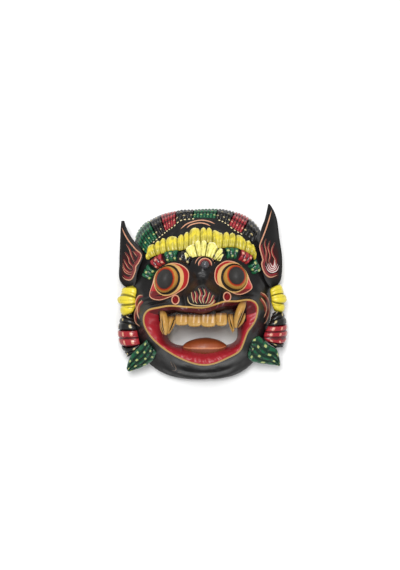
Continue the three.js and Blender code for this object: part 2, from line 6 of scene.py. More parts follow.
import bpy
import numpy as np
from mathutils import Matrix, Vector


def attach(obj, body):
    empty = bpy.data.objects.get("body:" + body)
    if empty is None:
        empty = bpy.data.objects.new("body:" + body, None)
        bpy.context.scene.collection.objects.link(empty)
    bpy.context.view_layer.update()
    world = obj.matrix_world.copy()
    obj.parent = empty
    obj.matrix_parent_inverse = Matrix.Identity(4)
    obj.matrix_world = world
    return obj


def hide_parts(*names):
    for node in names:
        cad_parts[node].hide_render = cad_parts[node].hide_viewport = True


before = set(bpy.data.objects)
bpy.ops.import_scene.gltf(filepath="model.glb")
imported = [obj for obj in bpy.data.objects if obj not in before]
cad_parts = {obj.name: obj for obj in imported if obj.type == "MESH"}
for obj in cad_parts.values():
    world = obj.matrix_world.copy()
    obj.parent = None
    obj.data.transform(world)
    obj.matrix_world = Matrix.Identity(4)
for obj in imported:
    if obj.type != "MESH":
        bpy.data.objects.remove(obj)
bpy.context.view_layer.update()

# ------------
# The carved face: one block of light wood, cut to a rounded square outline, domed in front and
# hollowed out behind, with the mouth cut right through. It is painted satin black in front, red
# inside the mouth, and left bare behind.
MM = 0.001
SHIFT = np.array([0.25, 1.3, 0.0])  # from the carving's own middle line to the middle of its box
HEAD = {"left": 87, "right": 81, "top": 96.5, "bottom": 104, "top_power": 3.1, "bottom_power": 2.7}
DOME = {"edge": 16, "rise": 46, "bow": 2.4, "shoulder": 0.62, "fade": 0.12}
RIM = {"arch": 14, "arch_to": 42, "blend": 34, "bevel": 1.5 / 90}
LIP_ROLL = {"rise": 6, "reach": 8}
CHIP_DEPTH = 0.009  # as a share of the way from the mouth to the outline
MOUTH_CENTRE = (0.0, -46.0)
THROAT = {"half_width": 41, "half_height": 18, "power": 3.6, "z": 28}
HOLLOW_SHARE = 0.86  # the hollow's edge, as a share of the way to the outline
# The lip edge in plan, from the middle of the upper lip round to the right.
MOUTH_EDGE = [(0, -18.5), (12, -15.5), (24, -11.6), (38, -11.2), (50.5, -9.6), (59.3, -13), (61.8, -21.5),
    (58.3, -34.1), (50.1, -45.8), (45.8, -57), (40.5, -67.2), (27, -74.2), (11.3, -80.4), (-3, -81.2),
    (-20, -76.2), (-39.5, -66.4), (-55.6, -53.9), (-64.5, -40.8), (-66.2, -29.5), (-60.7, -21.3),
    (-49, -18.2), (-35.5, -16.3), (-18.6, -17.6)]
# Swellings and dips of the face: centre x, y, reach x, y, rise, and how square-shouldered they are.
RELIEF = [
    (0, -40, 48, 42, 22, 1),  # muzzle
    (0, -76, 42, 20, 14, 1),  # chin
    (0, -93, 38, 5.5, 7, 1),  # chin roll
    (0, 38, 58, 16, 8, 1),  # brow
    (0, 14, 10, 20, 9, 1),  # nose bridge
    (-1, -3.5, 16, 14, 15.5, 2),  # nose tip
    (-1, 7.5, 10, 7, 4.3, 1),  # nose crest
    (-28.5, -8.5, 11, 9, 11, 1),  # nostril wings
    (27, -5, 11, 9, 11, 1),
    (-60, -24, 20, 24, 9, 1),  # cheeks
    (58, -20, 20, 24, 9, 1),
    (-40, 13, 22, 20, -6, 1),  # eye hollows
    (37, 16, 22, 20, -6, 1),
]
NOSTRILS = [(-30.6, -8.7), (27.4, -5.3)]
WRINKLE_PITCH = 3.8


def mix(a, b, t):
    return a + (b - a) * t


def smooth(t):
    """0 below 0, 1 above 1, and 3t^2 - 2t^3 between."""
    t = np.clip(t, 0, 1)
    return t * t * (3 - 2 * t)


def curve_through(points, count, closed=False):
    """Points evenly spaced in plan on a Catmull-Rom curve through the given ones."""
    p = np.asarray(points, float)
    if closed:
        pad = np.concatenate([p[-1:], p, p[:2]])
    else:
        pad = np.concatenate([2 * p[:1] - p[1:2], p, 2 * p[-1:] - p[-2:-1]])
    a, b, c, d = pad[:-3], pad[1:-2], pad[2:-1], pad[3:]
    t = np.linspace(0, 1, 24, endpoint=False)[:, None, None]
    fine = 0.5 * (2 * b + (c - a) * t + (2 * a - 5 * b + 4 * c - d) * t**2 + (3 * b - a - 3 * c + d) * t**3)
    fine = fine.transpose(1, 0, 2).reshape(-1, p.shape[1])
    fine = np.concatenate([fine, p[:1] if closed else p[-1:]])
    length = np.concatenate([[0], np.cumsum(np.hypot(*np.diff(fine[:, :2], axis=0).T))])
    want = np.linspace(0, length[-1], count, endpoint=not closed)
    return np.stack([np.interp(want, length, column) for column in fine.T], axis=1)


def head_share(x, y):
    """The superellipse |x/a|^n + |y/b|^n, rooted: 0 in the middle of the head and 1 on its outline."""
    n = np.where(y > 0, HEAD["top_power"], HEAD["bottom_power"])
    u = np.abs(x) / np.where(x < 0, HEAD["left"], HEAD["right"])
    v = np.abs(y) / np.where(y > 0, HEAD["top"], HEAD["bottom"])
    return (u**n + v**n) ** (1 / n)


mouth_loop = curve_through(MOUTH_EDGE, 600, closed=True)
mouth_angle = np.arctan2(mouth_loop[:, 1] - MOUTH_CENTRE[1], mouth_loop[:, 0] - MOUTH_CENTRE[0])
mouth_order = np.argsort(mouth_angle)
mouth_reach = np.hypot(mouth_loop[:, 0] - MOUTH_CENTRE[0], mouth_loop[:, 1] - MOUTH_CENTRE[1])


def mouth_radius(angle):
    """How far the lip edge lies from the middle of the mouth, in a direction."""
    return np.interp(angle, mouth_angle[mouth_order], mouth_reach[mouth_order], period=2 * math.pi)


def off_lips(x, y):
    """Millimetres outside the lip edge, along the direction from the middle of the mouth."""
    dx, dy = x - MOUTH_CENTRE[0], y - MOUTH_CENTRE[1]
    return np.hypot(dx, dy) - mouth_radius(np.arctan2(dy, dx))


def bell(x, y, cx, cy, rx, ry, square):
    """exp(-q^square) with q the squared distance in units of the reach."""
    return np.exp(-((((x - cx) / rx) ** 2 + ((y - cy) / ry) ** 2) ** square))


def face_height(x, y):
    """A dome, edge + rise (1 - s^bow)^shoulder with s the head share, plus the swellings, all faded
    out at the edge."""
    share = np.minimum(1, head_share(x, y))
    z = DOME["edge"] + DOME["rise"] * (1 - share ** DOME["bow"]) ** DOME["shoulder"]
    fade = smooth((1 - share) / DOME["fade"])
    for cx, cy, rx, ry, rise, square in RELIEF:
        z = z + fade * rise * bell(x, y, cx, cy, rx, ry, square)
    return z + fade * LIP_ROLL["rise"] * np.exp(-((np.maximum(0, off_lips(x, y)) / LIP_ROLL["reach"]) ** 2))


def carved_detail(x, y):
    """Smaller cuts: wrinkles over the nose and folds beside it, ripples along the lips on the chin and
    cheeks, the nostrils, and the flats a knife leaves."""
    bridge = 8.6 * (1 - np.exp(-((x / 10) ** 2))) * bell(x, y, 0, 20, 9, 5, 2)
    ridges = np.cos(2 * math.pi * (y - 20 + 0.5 * np.sin(x * 0.8)) / WRINKLE_PITCH)
    wrinkles = bridge - 0.28 * ridges * bell(x, y, 0, 20, 9, 3.6, 3)
    left_fold = -2.2 * np.exp(-(((x + 20 + 0.25 * (y + 8)) / 2.6) ** 2)) * bell(x, y, -20, -7, 14, 10, 2)
    right_fold = -2.2 * np.exp(-(((x - 19 - 0.25 * (y + 6)) / 2.6) ** 2)) * bell(x, y, 19, -5, 14, 10, 2)
    flats = 0.16 * (np.sin(x * 0.61 + 1.3 * np.sin(y * 0.33)) + np.sin(y * 0.55 + 1.7 * np.sin(x * 0.29)))
    off = off_lips(x, y)
    chin = -1.9 * np.cos(off * 0.55 - 4.2) * bell(x, y, 0, -96, 44, 14, 2)
    both_cheeks = bell(x, y, -53, -10, 13, 7, 2) + bell(x, y, 47, -3, 10, 5, 2)
    cheeks = -1.3 * np.cos(off * 0.95 + 0.05 * x) * both_cheeks
    nostrils = sum(-5 * bell(x, y, nx, ny, 3.0, 3.4, 3) for nx, ny in NOSTRILS)
    return wrinkles + left_fold + right_fold + flats + chin + cheeks + nostrils


def on_face(x, y):
    """The finished front: the face with its smaller cuts, which die out just inside its edge."""
    return face_height(x, y) + carved_detail(x, y) * smooth((1 - head_share(x, y)) / 0.06)


def hollow_height(x, y):
    """The roof of the hollow: a dome inside the outer one, drawn down to the throat near the mouth."""
    share = np.minimum(1, head_share(x, y) / HOLLOW_SHARE)
    roof = DOME["rise"] * (1 - share ** DOME["bow"]) ** DOME["shoulder"]
    n = THROAT["power"]
    u = np.abs(x - MOUTH_CENTRE[0]) / THROAT["half_width"]
    v = np.abs(y - MOUTH_CENTRE[1]) / THROAT["half_height"]
    beyond = np.maximum(0, (u**n + v**n) ** (1 / n) - 1) * THROAT["half_height"]
    near = np.exp(-((beyond / 15) ** 2))
    gouges = 0.45 * np.abs(np.sin(x * 0.42 + 0.8 * np.sin(y * 0.11))) * np.abs(np.cos(y * 0.16)) ** 0.5
    return mix(roof, np.minimum(roof, THROAT["z"] - 4), near) - gouges * smooth(roof / 12)


def signed_volume(verts, faces):
    """Six times the enclosed volume, by fanning each face from its first corner."""
    total = 0.0
    for face in (faces[:, [0, 1, 2]], faces[:, [0, 2, 3]]):
        a, b, c = (verts[face[:, k]] for k in range(3))
        total += np.einsum("ij,ij->i", a, np.cross(b, c)).sum()
    return total


def new_piece(name, surface, material, slot):
    """A mesh object riding on the mask, from a skin: points in millimetres, four-cornered faces, and
    fields for the material. A face whose last two corners are one point becomes a triangle."""
    verts, faces, fields = surface
    if signed_volume(verts, faces) < 0:
        faces = faces[:, ::-1]
    kept = []
    for face in faces.tolist():
        corners = [v for k, v in enumerate(face) if v != face[k - 1]]
        if len(corners) > 2:
            kept.append(corners)
    mesh = bpy.data.meshes.new(name)
    mesh.from_pydata(((verts + SHIFT) * MM).tolist(), [], kept)
    for key, field in fields.items():
        layer = mesh.attributes.new(key, "FLOAT", "POINT")
        layer.data.foreach_set("value", np.asarray(field, np.float32).ravel())
    mesh.shade_smooth()
    mesh.materials.append(material)
    made = bpy.data.objects.new(name, mesh)
    bpy.context.scene.collection.objects.link(made)
    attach(made, "root")
    return made


def grid_faces(rings, around, looped):
    """Faces joining each closed ring of points to the next, and the last to the first when looped."""
    last = rings if looped else rings - 1
    i, j = np.meshgrid(np.arange(last), np.arange(around), indexing="ij")
    i, j = i.ravel(), j.ravel()
    k, m = (i + 1) % rings, (j + 1) % around
    return np.stack([i * around + j, i * around + m, k * around + m, k * around + j], axis=1)


def skin(points, values=None, looped=False):
    """Closes rings of points into a skin: (rings, around, 3) in, with a hub over each open end."""
    rings, around, _ = points.shape
    verts = points.reshape(-1, 3)
    faces = grid_faces(rings, around, looped)
    fields = {key: np.asarray(v, float).reshape(-1) for key, v in (values or {}).items()}
    if not looped:
        ends = []
        for ring, order in ((0, -1), (rings - 1, 1)):
            hub = len(verts)
            verts = np.concatenate([verts, points[ring].mean(axis=0)[None]])
            for key, v in (values or {}).items():
                fields[key] = np.append(fields[key], np.asarray(v, float)[ring].mean())
            j = np.arange(around)
            a, b = ring * around + j, ring * around + (j + 1) % around
            if order < 0:
                a, b = b, a
            ends.append(np.stack([a, b, np.full(around, hub), np.full(around, hub)], axis=1))
        faces = np.concatenate([faces, *ends])
    return verts, faces, fields


def joined(parts):
    """Several skins as one set of points, faces and fields."""
    verts, faces, fields, start = [], [], {}, 0
    for part_verts, part_faces, part_fields in parts:
        verts.append(part_verts)
        faces.append(part_faces + start)
        start += len(part_verts)
        for key, v in part_fields.items():
            fields.setdefault(key, []).append(v)
    return np.concatenate(verts), np.concatenate(faces), {k: np.concatenate(v) for k, v in fields.items()}


def linear(hex_colour):
    """A colour written as sRGB hex, as the linear RGBA a node takes."""
    channels = [int(hex_colour[k : k + 2], 16) / 255 for k in (1, 3, 5)]
    return [c / 12.92 if c <= 0.04045 else ((c + 0.055) / 1.055) ** 2.4 for c in channels] + [1.0]


def add_node(tree, kind, settings=None, **inputs):
    """Adds a shader node, sets its properties, and sets or links its inputs by name or number. A node
    given for an input stands for its first output."""
    made = tree.nodes.new("ShaderNode" + kind)
    for key, value in (settings or {}).items():
        setattr(made, key, value)
    for key, value in inputs.items():
        socket = made.inputs[int(key[1:])] if key[1:].isdigit() else made.inputs[key.replace("_", " ")]
        if isinstance(value, bpy.types.Node):
            value = value.outputs[0]
        if isinstance(value, bpy.types.NodeSocket):
            tree.links.new(value, socket)
        else:
            socket.default_value = value
    return made


def painted(name, ground, layers=(), roughness=0.36, streak=0.12, gloss=0.32, edge=0.35, matt=None):
    """Hand-brushed satin paint on carved wood. Each layer is a field on the mesh and a colour, which
    covers what lies under it where the field is above zero, over edge millimetres and with the wander
    of a brush. The pigment varies in depth by streak, brush marks stand as a fine bump, and gloss is
    the shine of the coat, lost where the field matt nears one."""
    multiply_add = {"operation": "MULTIPLY_ADD"}
    material = bpy.data.materials.new(name)
    material.use_nodes = True
    tree = material.node_tree
    tree.nodes.clear()
    place = add_node(tree, "TexCoord").outputs["Object"]
    # Scales are features per metre: a brush wanders over 2.4 mm, and patches of pigment are 14 mm
    # across. Bristle marks are about 0.3 mm wide, and are drawn 1.1 by 3.2 mm so that they show.
    wander = add_node(tree, "TexNoise", Vector=place, Scale=420.0, Detail=2.0)
    patches = add_node(tree, "TexNoise", Vector=place, Scale=70.0, Detail=3.0)
    squash = add_node(tree, "Mapping", Vector=place, Scale=(1.0, 0.35, 1.0))
    strokes = add_node(tree, "TexNoise", Vector=squash, Scale=900.0, Detail=4.0)
    colour = add_node(tree, "RGB").outputs[0]
    colour.default_value = linear(ground)
    for field, hex_colour in layers:
        value = add_node(tree, "Attribute", {"attribute_name": field}).outputs["Fac"]
        shaky = add_node(tree, "Math", multiply_add, _0=wander, _1=0.7, _2=-0.35)
        moved = add_node(tree, "Math", {"operation": "ADD"}, _0=value, _1=shaky)
        span = {"Value": moved, "From_Min": -edge / 2, "From_Max": edge / 2}
        cover = add_node(tree, "MapRange", {"interpolation_type": "SMOOTHSTEP"}, **span)
        paint = linear(hex_colour)
        colour = add_node(tree, "Mix", {"data_type": "RGBA"}, _0=cover, _6=colour, _7=paint).outputs[2]
    depth = add_node(tree, "Math", multiply_add, _0=strokes, _1=streak * 2, _2=1 - streak)
    depth = add_node(tree, "Math", multiply_add, _0=patches, _1=streak * 2, _2=depth)
    depth = add_node(tree, "Math", {"operation": "SUBTRACT"}, _0=depth, _1=streak)
    colour = add_node(tree, "HueSaturation", Value=depth, Color=colour)
    spread = {"From_Min": 0.3, "From_Max": 0.7, "To_Min": roughness - 0.05, "To_Max": roughness + 0.09}
    shine = add_node(tree, "MapRange", Value=patches, **spread)
    marks = add_node(tree, "Math", multiply_add, _0=strokes, _1=0.6, _2=wander)
    bump = add_node(tree, "Bump", Height=marks, Strength=0.25, Distance=0.0003)
    surface = add_node(tree, "BsdfPrincipled", Base_Color=colour, Roughness=shine, Normal=bump)
    shine_level = surface.inputs["Specular IOR Level"]
    shine_level.default_value = gloss
    if matt:
        worn = add_node(tree, "Attribute", {"attribute_name": matt}).outputs["Fac"]
        dulled = add_node(tree, "MapRange", Value=worn, To_Min=gloss, To_Max=gloss * 0.1).outputs[0]
        tree.links.new(dulled, shine_level)
    add_node(tree, "OutputMaterial", Surface=surface)
    return material


def outline_reach(angle, share=1.0):
    """How far the head's outline lies from the middle of the mouth, by halving the gap 40 times."""
    low, high = np.zeros_like(angle), np.full_like(angle, 260.0)
    for _ in range(40):
        middle = (low + high) / 2
        x = MOUTH_CENTRE[0] + np.cos(angle) * middle
        y = MOUTH_CENTRE[1] + np.sin(angle) * middle
        inside = head_share(x, y) < share
        low, high = np.where(inside, middle, low), np.where(inside, high, middle)
    return low


def even_directions(count):
    """Directions from the middle of the mouth whose outline points are evenly spaced."""
    fine = np.linspace(-math.pi / 2, 1.5 * math.pi, 2881)
    r = outline_reach(fine)
    step = np.hypot(*np.diff(np.stack([r * np.cos(fine), r * np.sin(fine)]), axis=1))
    length = np.concatenate([[0], np.cumsum(step)])
    return np.interp(np.linspace(0, length[-1], count, endpoint=False), length, fine)


def rim_height(y):
    """The back rim lies flat at crown and chin and arches up between them."""
    return RIM["arch"] * (1 - smooth((np.abs(y) - RIM["arch_to"]) / RIM["blend"]))


def carved_face():
    """Profiles round the mouth: back rim, side, front, lips, the wall of the mouth, and the hollow."""
    angle = even_directions(440)
    c, s = np.cos(angle), np.sin(angle)
    at = lambda r: (MOUTH_CENTRE[0] + c * r, MOUTH_CENTRE[1] + s * r)
    by_the_chin = np.exp(-(((angle + math.pi / 2) / 0.5) ** 2))
    chips = CHIP_DEPTH * (1 + np.sin(21 * angle)) * by_the_chin
    outer, rim = at(outline_reach(angle) * (1 - chips)), at(outline_reach(angle, HOLLOW_SHARE))
    trimmed = at(outline_reach(angle, 1 - RIM["bevel"]) * (1 - chips))
    foot = rim_height(outer[1])
    lip = at(mouth_radius(angle))
    n = THROAT["power"]
    u, v = np.abs(c) / THROAT["half_width"], np.abs(s) / THROAT["half_height"]
    reach = 1 / (u**n + v**n) ** (1 / n)
    throat = at(reach)
    rows, inner, back = [], [], []

    def row(x, y, z, inside=-9.0, behind=-9.0):
        rows.append(np.stack([x, y, z + 0 * x], axis=1))
        inner.append(inside + 0 * x)
        back.append(behind + 0 * x)

    row(*trimmed, foot, behind=0.5)
    for t in np.linspace(0, 1, 5):
        row(*outer, mix(foot + 1.5, face_height(*outer), t))
    for t in np.linspace(0, 1, 128)[1:] ** 1.25:
        x, y = mix(outer[0], lip[0], t), mix(outer[1], lip[1], t)
        row(x, y, on_face(x, y), inside=-off_lips(x, y))
    top = on_face(*lip)
    roll = mix(3.0, 4.0, smooth((s + 0.2) / 1.1))
    width = np.hypot(lip[0] - throat[0], lip[1] - throat[1])
    for t in np.linspace(0, 1, 33)[1:]:
        x, y = mix(lip[0], throat[0], t), mix(lip[1], throat[1], t)
        ripple = 0.8 * np.sin(11 * angle + 7 * t) * np.sin(26 * angle - 3 * t) * math.sin(math.pi * t)
        row(x, y, top - (top - THROAT["z"]) * t**roll + ripple, inside=t * width)
    for t in np.linspace(0, 1, 44):
        x, y = mix(throat[0], rim[0], t), mix(throat[1], rim[1], t)
        row(x, y, np.maximum(foot + 1, hollow_height(x, y)) if t < 1 else foot, inside=-9, behind=4 + 0 * x)
    points = np.stack(rows, axis=1)
    fields = {"inner": np.stack(inner, axis=1), "back": np.stack(back, axis=1)}
    return skin(points, fields, looped=True)


BLACK, RED, GREEN, YELLOW = "#181717", "#94212A", "#0D5434", "#D3C131"
MAROON, CREAM, OCHRE, GOLD, ROSE = "#4A171B", "#D8C99A", "#BA9148", "#AF8A4A", "#C99274"

face_skin = carved_face()
face_verts, _, face_fields = face_skin
fx, fy = face_verts[:, :2].T
face_fields["upper_lip"] = np.minimum(np.minimum(face_fields["inner"], fy + 34), 50 - np.abs(fx))
# Painted shade: near-black deep inside the upper lip, above the teeth.
face_fields["gum"] = np.minimum(face_fields["upper_lip"], face_fields["inner"] - 6.2)
# Painted shade: a darker red in the upper corners of the mouth, deep under the lip.
face_fields["pocket"] = np.minimum(face_fields["inner"] - 1.5, fy + 26 - 0.3 * (np.abs(fx) - 52))
face_fields["nostril"] = np.max([3.4 - np.hypot(fx - nx, (fy - ny) * 0.86) for nx, ny in NOSTRILS], axis=0)
face_fields["matt"] = smooth((head_share(fx, fy) - 0.8) / 0.12) * smooth((-30 - fy) / 30)
FACE_LAYERS = [
    ("inner", RED), ("pocket", "#541418"), ("upper_lip", MAROON), ("gum", "#231011"),
    ("nostril", "#741418"), ("back", "#D8BC8C"),
]
face_paint = painted("black_paint", BLACK, FACE_LAYERS, roughness=0.3, gloss=0.24, matt="matt")
face = new_piece("carved_face", face_skin, face_paint, "black_paint")
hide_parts("mask")

# ------------
# Eye sockets: low almond-shaped rims left standing in the wood as the face is carved. Each is painted
# red inside a rose outline, with a cream and a black ring round its eye.
SOCKETS = {
    "left": [(-15.5, 17), (-17, 25), (-25.5, 31.5), (-36, 32.8), (-47, 28), (-54, 21), (-57.5, 10),
        (-60.8, -5), (-50.5, -9.6), (-37.6, -6.2), (-25.6, 0.4), (-18, 7)],
    "right": [(13.4, 18), (15.6, 27.6), (23.5, 34.2), (31, 35.4), (39.5, 33), (47, 27.2), (51.5, 20.5),
        (54.2, 13.5), (56.8, 4), (46, -2.6), (36.5, -2.3), (25, 3.8), (16, 9.6)],
}
EYES = {
    "left": {
        "x": -40.3,
        "y": 13.8,
        "rx": 13.7,
        "ry": 16.5,
        "turn": -0.35,
        "pupil": (-42.9, 14.6, 9.1, 11.3, -0.2),
        "tilt": -0.2,
    },
    "right": {
        "x": 36,
        "y": 16.3,
        "rx": 14.4,
        "ry": 15.2,
        "turn": 0.2,
        "pupil": (38.4, 18.4, 8.9, 10.1, 0.2),
        "tilt": 0.2,
    },
}


def oval(x, y, cx, cy, rx, ry, turn):
    """0 in the middle of an ellipse turned by an angle, and 1 on its edge."""
    u = (x - cx) * math.cos(turn) + (y - cy) * math.sin(turn)
    v = (y - cy) * math.cos(turn) - (x - cx) * math.sin(turn)
    return np.hypot(u / rx, v / ry)


def socket_skin(points, eye):
    """Rings from the outline inwards, each a share of the way to its middle, standing on the face and
    raised along the outline. The first ring is sunk in the wood."""
    edge = curve_through(points, 160, closed=True)
    middle = np.array([eye["x"], eye["y"]])
    share = np.concatenate([[1.02], np.linspace(1, 0.02, 42)])[:, None]
    x = mix(middle[0], edge[:, 0], share)
    y = mix(middle[1], edge[:, 1], share)
    inwards = (1 - share) * np.hypot(edge[:, 0] - middle[0], edge[:, 1] - middle[1])
    rise = np.where(share > 1, -9.0, 1.9 * np.exp(-((inwards / 3.2) ** 2)) + 0.5)
    z = face_height(x, y) + rise
    e = oval(x, y, eye["x"], eye["y"], eye["rx"], eye["ry"], eye["turn"])
    fields = {"red": inwards - 1.0, "shade": np.minimum(inwards - 1.0, eye["y"] - 13 - y)}
    nosewards = np.clip((eye["x"] - x) * np.sign(eye["x"]) / 18, 0, 1)
    fields |= {"cream": 2.0 + 3.2 * nosewards**1.5 - (e - 1) * 15, "black": 0.8 - (e - 1) * 15}
    return skin(np.stack([x, y, z], axis=2), fields)


SOCKET_LAYERS = [("red", "#A02025"), ("shade", "#641A1C"), ("cream", "#C7A368"), ("black", "#1B1A1A")]
socket_paint = painted("socket_paint", ROSE, SOCKET_LAYERS)
for side, points in SOCKETS.items():
    new_piece(f"{side}_eye_socket", socket_skin(points, EYES[side]), socket_paint, "eye_paint")

# ------------
# Eyes: bulging domes cut from the block and rubbed smooth. Each is painted in rings round a wide
# black pupil that looks outwards.
EYE_FOOT = 52
EYE_HEIGHT = 21


def eye_skin(eye):
    """An ellipsoid in rings from its foot to its crown, flattened below, leaning outwards."""
    up = np.concatenate([[-0.25], np.linspace(0, math.pi / 2, 40)])[:, None]
    turn = np.linspace(0, 2 * math.pi, 96, endpoint=False)[None]
    x, y = np.cos(up) * np.cos(turn) * eye["rx"], np.cos(up) * np.sin(turn) * eye["ry"]
    z = np.where(up < 0, -3.0, np.sin(up) * EYE_HEIGHT) + 0 * x
    c, s = math.cos(eye["turn"]), math.sin(eye["turn"])
    x, y = x * c - y * s, x * s + y * c
    lean = eye["tilt"]
    x, z = x * math.cos(lean) + z * math.sin(lean), -x * math.sin(lean) + z * math.cos(lean)
    x, y, z = x + eye["x"], y + eye["y"], z + EYE_FOOT
    e, reach = oval(x, y, *eye["pupil"]), eye["pupil"][2]
    fields = {"orange": (1.22 - e) * reach, "red": (1.08 - e) * reach, "pupil": (1.0 - e) * reach}
    return skin(np.stack([x, y, z], axis=2), fields)


EYE_LAYERS = [("orange", "#B5522A"), ("red", "#8E2219"), ("pupil", "#2E2D2C")]
eye_paint = painted("eye_paint", OCHRE, EYE_LAYERS, roughness=0.46, gloss=0.16, edge=0.9)
for side, eye in EYES.items():
    new_piece(f"{side}_eye", eye_skin(eye), eye_paint, "eye_paint")

# ------------
# Brows and hair band: rolls cut across into ribs and along into lanes, like rows of beads. Each
# block of a roll has its own colour, and every bead has a cream touch of the brush.


def ribbed_block(edge_a, edge_b, height, ribs, lanes, depth, lane_depth, around=20, dot=(0.3, 0.16),
                 every=1, under=5, arch=0.7, flutes=0, sway=0.0, drape=None):
    """A roll between two edges given as matching rows of (x, y, z). It bulges square to both by
    height sin(pi s)^arch, and is cut in by depth |sin| between its ribs, and by lane_depth between its
    lanes. flutes cuts each rib again, sway makes their widths uneven, and drape lays the roll on a
    surface. The dot field is the distance inside a bead's painted touch, and the field for the painted
    shade in the cuts is the depth below its crests."""
    count = len(edge_a)
    t = np.linspace(0, 1, count)[:, None]
    s = (1 - np.cos(np.linspace(0, math.pi, around)))[None] / 2
    middle = (edge_a + edge_b) / 2
    along = np.gradient(middle, axis=0)
    chord = edge_b - edge_a
    out = np.cross(along, chord)
    out *= np.sign(out[:, 2:3]) / np.linalg.norm(out, axis=1, keepdims=True)
    across = s * lanes
    turns = ribs * t + sway * np.sin(2.1 * ribs * t)
    rib = np.abs(np.sin(math.pi * turns)) ** 0.5 + 0 * s
    lane = np.abs(np.sin(math.pi * across)) ** 0.5 + 0 * t
    lane = np.where((across < 0.4) | (across > lanes - 0.4), 1.0, lane)
    cut = depth * (1 - rib) + lane_depth * (1 - lane)
    if flutes:
        fine = np.abs(np.sin(math.pi * turns * flutes + 0.5 * np.sin(3 * s))) ** 0.6
        cut = cut + 0.5 * depth * (1 - fine) * mix(0.45, 1.0, s)
    swell = np.broadcast_to(np.asarray(height, float).reshape(-1, 1), (count, 1))
    ends = np.clip(np.minimum(t, 1 - t) * count * 0.2, 0, 1) ** 0.5
    bulge = swell * mix(0.5, 1, ends) * np.sin(math.pi * s) ** arch - cut
    top = mix(edge_a[:, None], edge_b[:, None], s[..., None])
    if drape:
        top[:, :, 2] = drape(top[:, :, 0], top[:, :, 1])
    top = top + out[:, None] * bulge[..., None]
    shrink = (cut * 0.5)[..., None] * (0.5 - s)[..., None] * 2
    top = top + shrink * (chord / np.linalg.norm(chord, axis=1, keepdims=True))[:, None]
    low = top[:, [-1, 0]].copy()
    low[:, :, 2] -= under
    pitch = np.linalg.norm(np.diff(middle, axis=0), axis=1).sum() / ribs
    lane_width = np.linalg.norm(chord, axis=1)[:, None] / lanes
    bead_t = np.abs(turns % 1 - 0.5) * pitch
    bead_s = np.abs(across % 1 - 0.5) * lane_width
    shown = (np.floor(turns - 1e-6) + np.floor(across - 1e-6)) % every == 0
    dots = np.where(shown, np.minimum(dot[0] * pitch - bead_t, dot[1] * lane_width - bead_s), -3.0)
    pad = np.full((count, 2), -3.0)
    fields = {
        "dot": np.concatenate([dots, pad], axis=1),
        "groove_shade": np.concatenate([cut - 0.42 * depth, pad + 3], axis=1),
        "along": np.concatenate([t + 0 * s, t + 0 * pad], axis=1),
        "across": np.concatenate([s + 0 * t, 0 * pad], axis=1),
    }
    return skin(np.concatenate([top, low], axis=1), fields)


def edges_through(edges_in_plan, z_a, z_b, count):
    """Two edges as matching rows of (x, y, z), evenly spaced along the first, from rows that give x and
    y on one edge and then on the other. Each height is a list from end to end, or a surface."""
    fine = curve_through(edges_in_plan, count)
    spread = np.linspace(0, 1, count)
    edges = []
    for z, k in ((z_a, 0), (z_b, 2)):
        plan = fine[:, k : k + 2]
        height = z(*plan.T) if callable(z) else np.interp(spread, np.linspace(0, 1, len(z)), z)
        edges.append(np.column_stack([plan, height]))
    return edges


def sideways(path, closed=False):
    """The unit directions square to a path in plan."""
    along = np.roll(path, -1, axis=0) - np.roll(path, 1, axis=0) if closed else np.gradient(path, axis=0)
    return np.stack([-along[:, 1], along[:, 0]], axis=1) / np.hypot(*along.T)[:, None]


BROWS = {
    "left": [(-11.5, 34.5), (-20, 38.8), (-30, 41.2), (-40, 39.8), (-50, 35.4), (-58.5, 27.2),
        (-65.5, 14.5)],
    "right": [(9.5, 38), (18, 42), (28, 44), (38, 43.6), (48.5, 39.6), (57, 32.5), (63.2, 21)],
}
BROW_COLOURS = [BLACK, GREEN, RED, GREEN]
BEAD_COLOURS = (  # the ground, then the painted shade in the cut between beads, and the touch of cream on them
    ("black", BLACK, "#0B0A0A", "#B3A274"),
    ("green", GREEN, "#08291B", "#A3AC6C"),
    ("red", RED, "#4C1216", "#C98F78"),
)
beaded = {}
for word, colour, cut, dot in BEAD_COLOURS:
    # The colour laid in the cuts between the beads is painted shade.
    layers = [("groove_shade", cut), ("dot", dot)]
    material = painted(f"{word}_bead_paint", colour, layers, roughness=0.27, edge=0.45, gloss=0.4)
    beaded[colour] = (material, f"{word}_paint")

for side, points in BROWS.items():
    whole = curve_through(points, 4 * 40 + 1)
    z = face_height(*whole.T)[:, None] + 0.8
    edge_a, edge_b = (np.hstack([whole + sideways(whole) * reach, z]) for reach in (6.4, -6.4))
    for k, colour in enumerate(BROW_COLOURS):
        part = slice(k * 40 + 3, k * 40 + 38)
        block = ribbed_block(
            edge_a[part], edge_b[part], 5.0, 3, 2, 1.2, 1.0, dot=(0.28, 0.17), every=2, under=5, arch=0.55
        )
        new_piece(f"{side}_brow_{k + 1}", block, *beaded[colour])

# x and y on the outer edge, then on the inner.
BAND_EDGES = [(-79.5, 64, -64, 42.5), (-75, 73.5, -62, 53), (-67, 82, -55.5, 59.5), (-56, 87, -47, 66.5),
    (-46, 91.5, -41, 71.5), (-35.5, 94, -34.5, 76), (-24.5, 96, -26, 83.5), (-12, 96, -13.5, 85.5),
    (2.5, 97, 0, 86), (15, 97.5, 11.5, 85.5), (25.5, 97, 21, 83.5), (36.5, 94.5, 29, 79),
    (46, 92, 36.5, 72.5), (56, 86.5, 45.5, 67.5), (62, 80.5, 52.5, 63.5), (66.5, 74, 59, 56)]
BAND_COLOURS = [GREEN, BLACK, RED, BLACK, GREEN, BLACK, RED, BLACK]
BAND_BREAKS = [-80, -62.8, -49.5, -30.5, -9.8, 18.7, 38.3, 55.3, 67]  # where the outer edge changes colour
BAND_RISE = [12, 14, 16, 17, 17, 17, 16, 15, 14]  # how high the outer edge lies
BAND_STEPS = 1800
RIB_PITCH = 4.1
band_a, band_b = edges_through(BAND_EDGES, BAND_RISE, face_height, BAND_STEPS + 1)
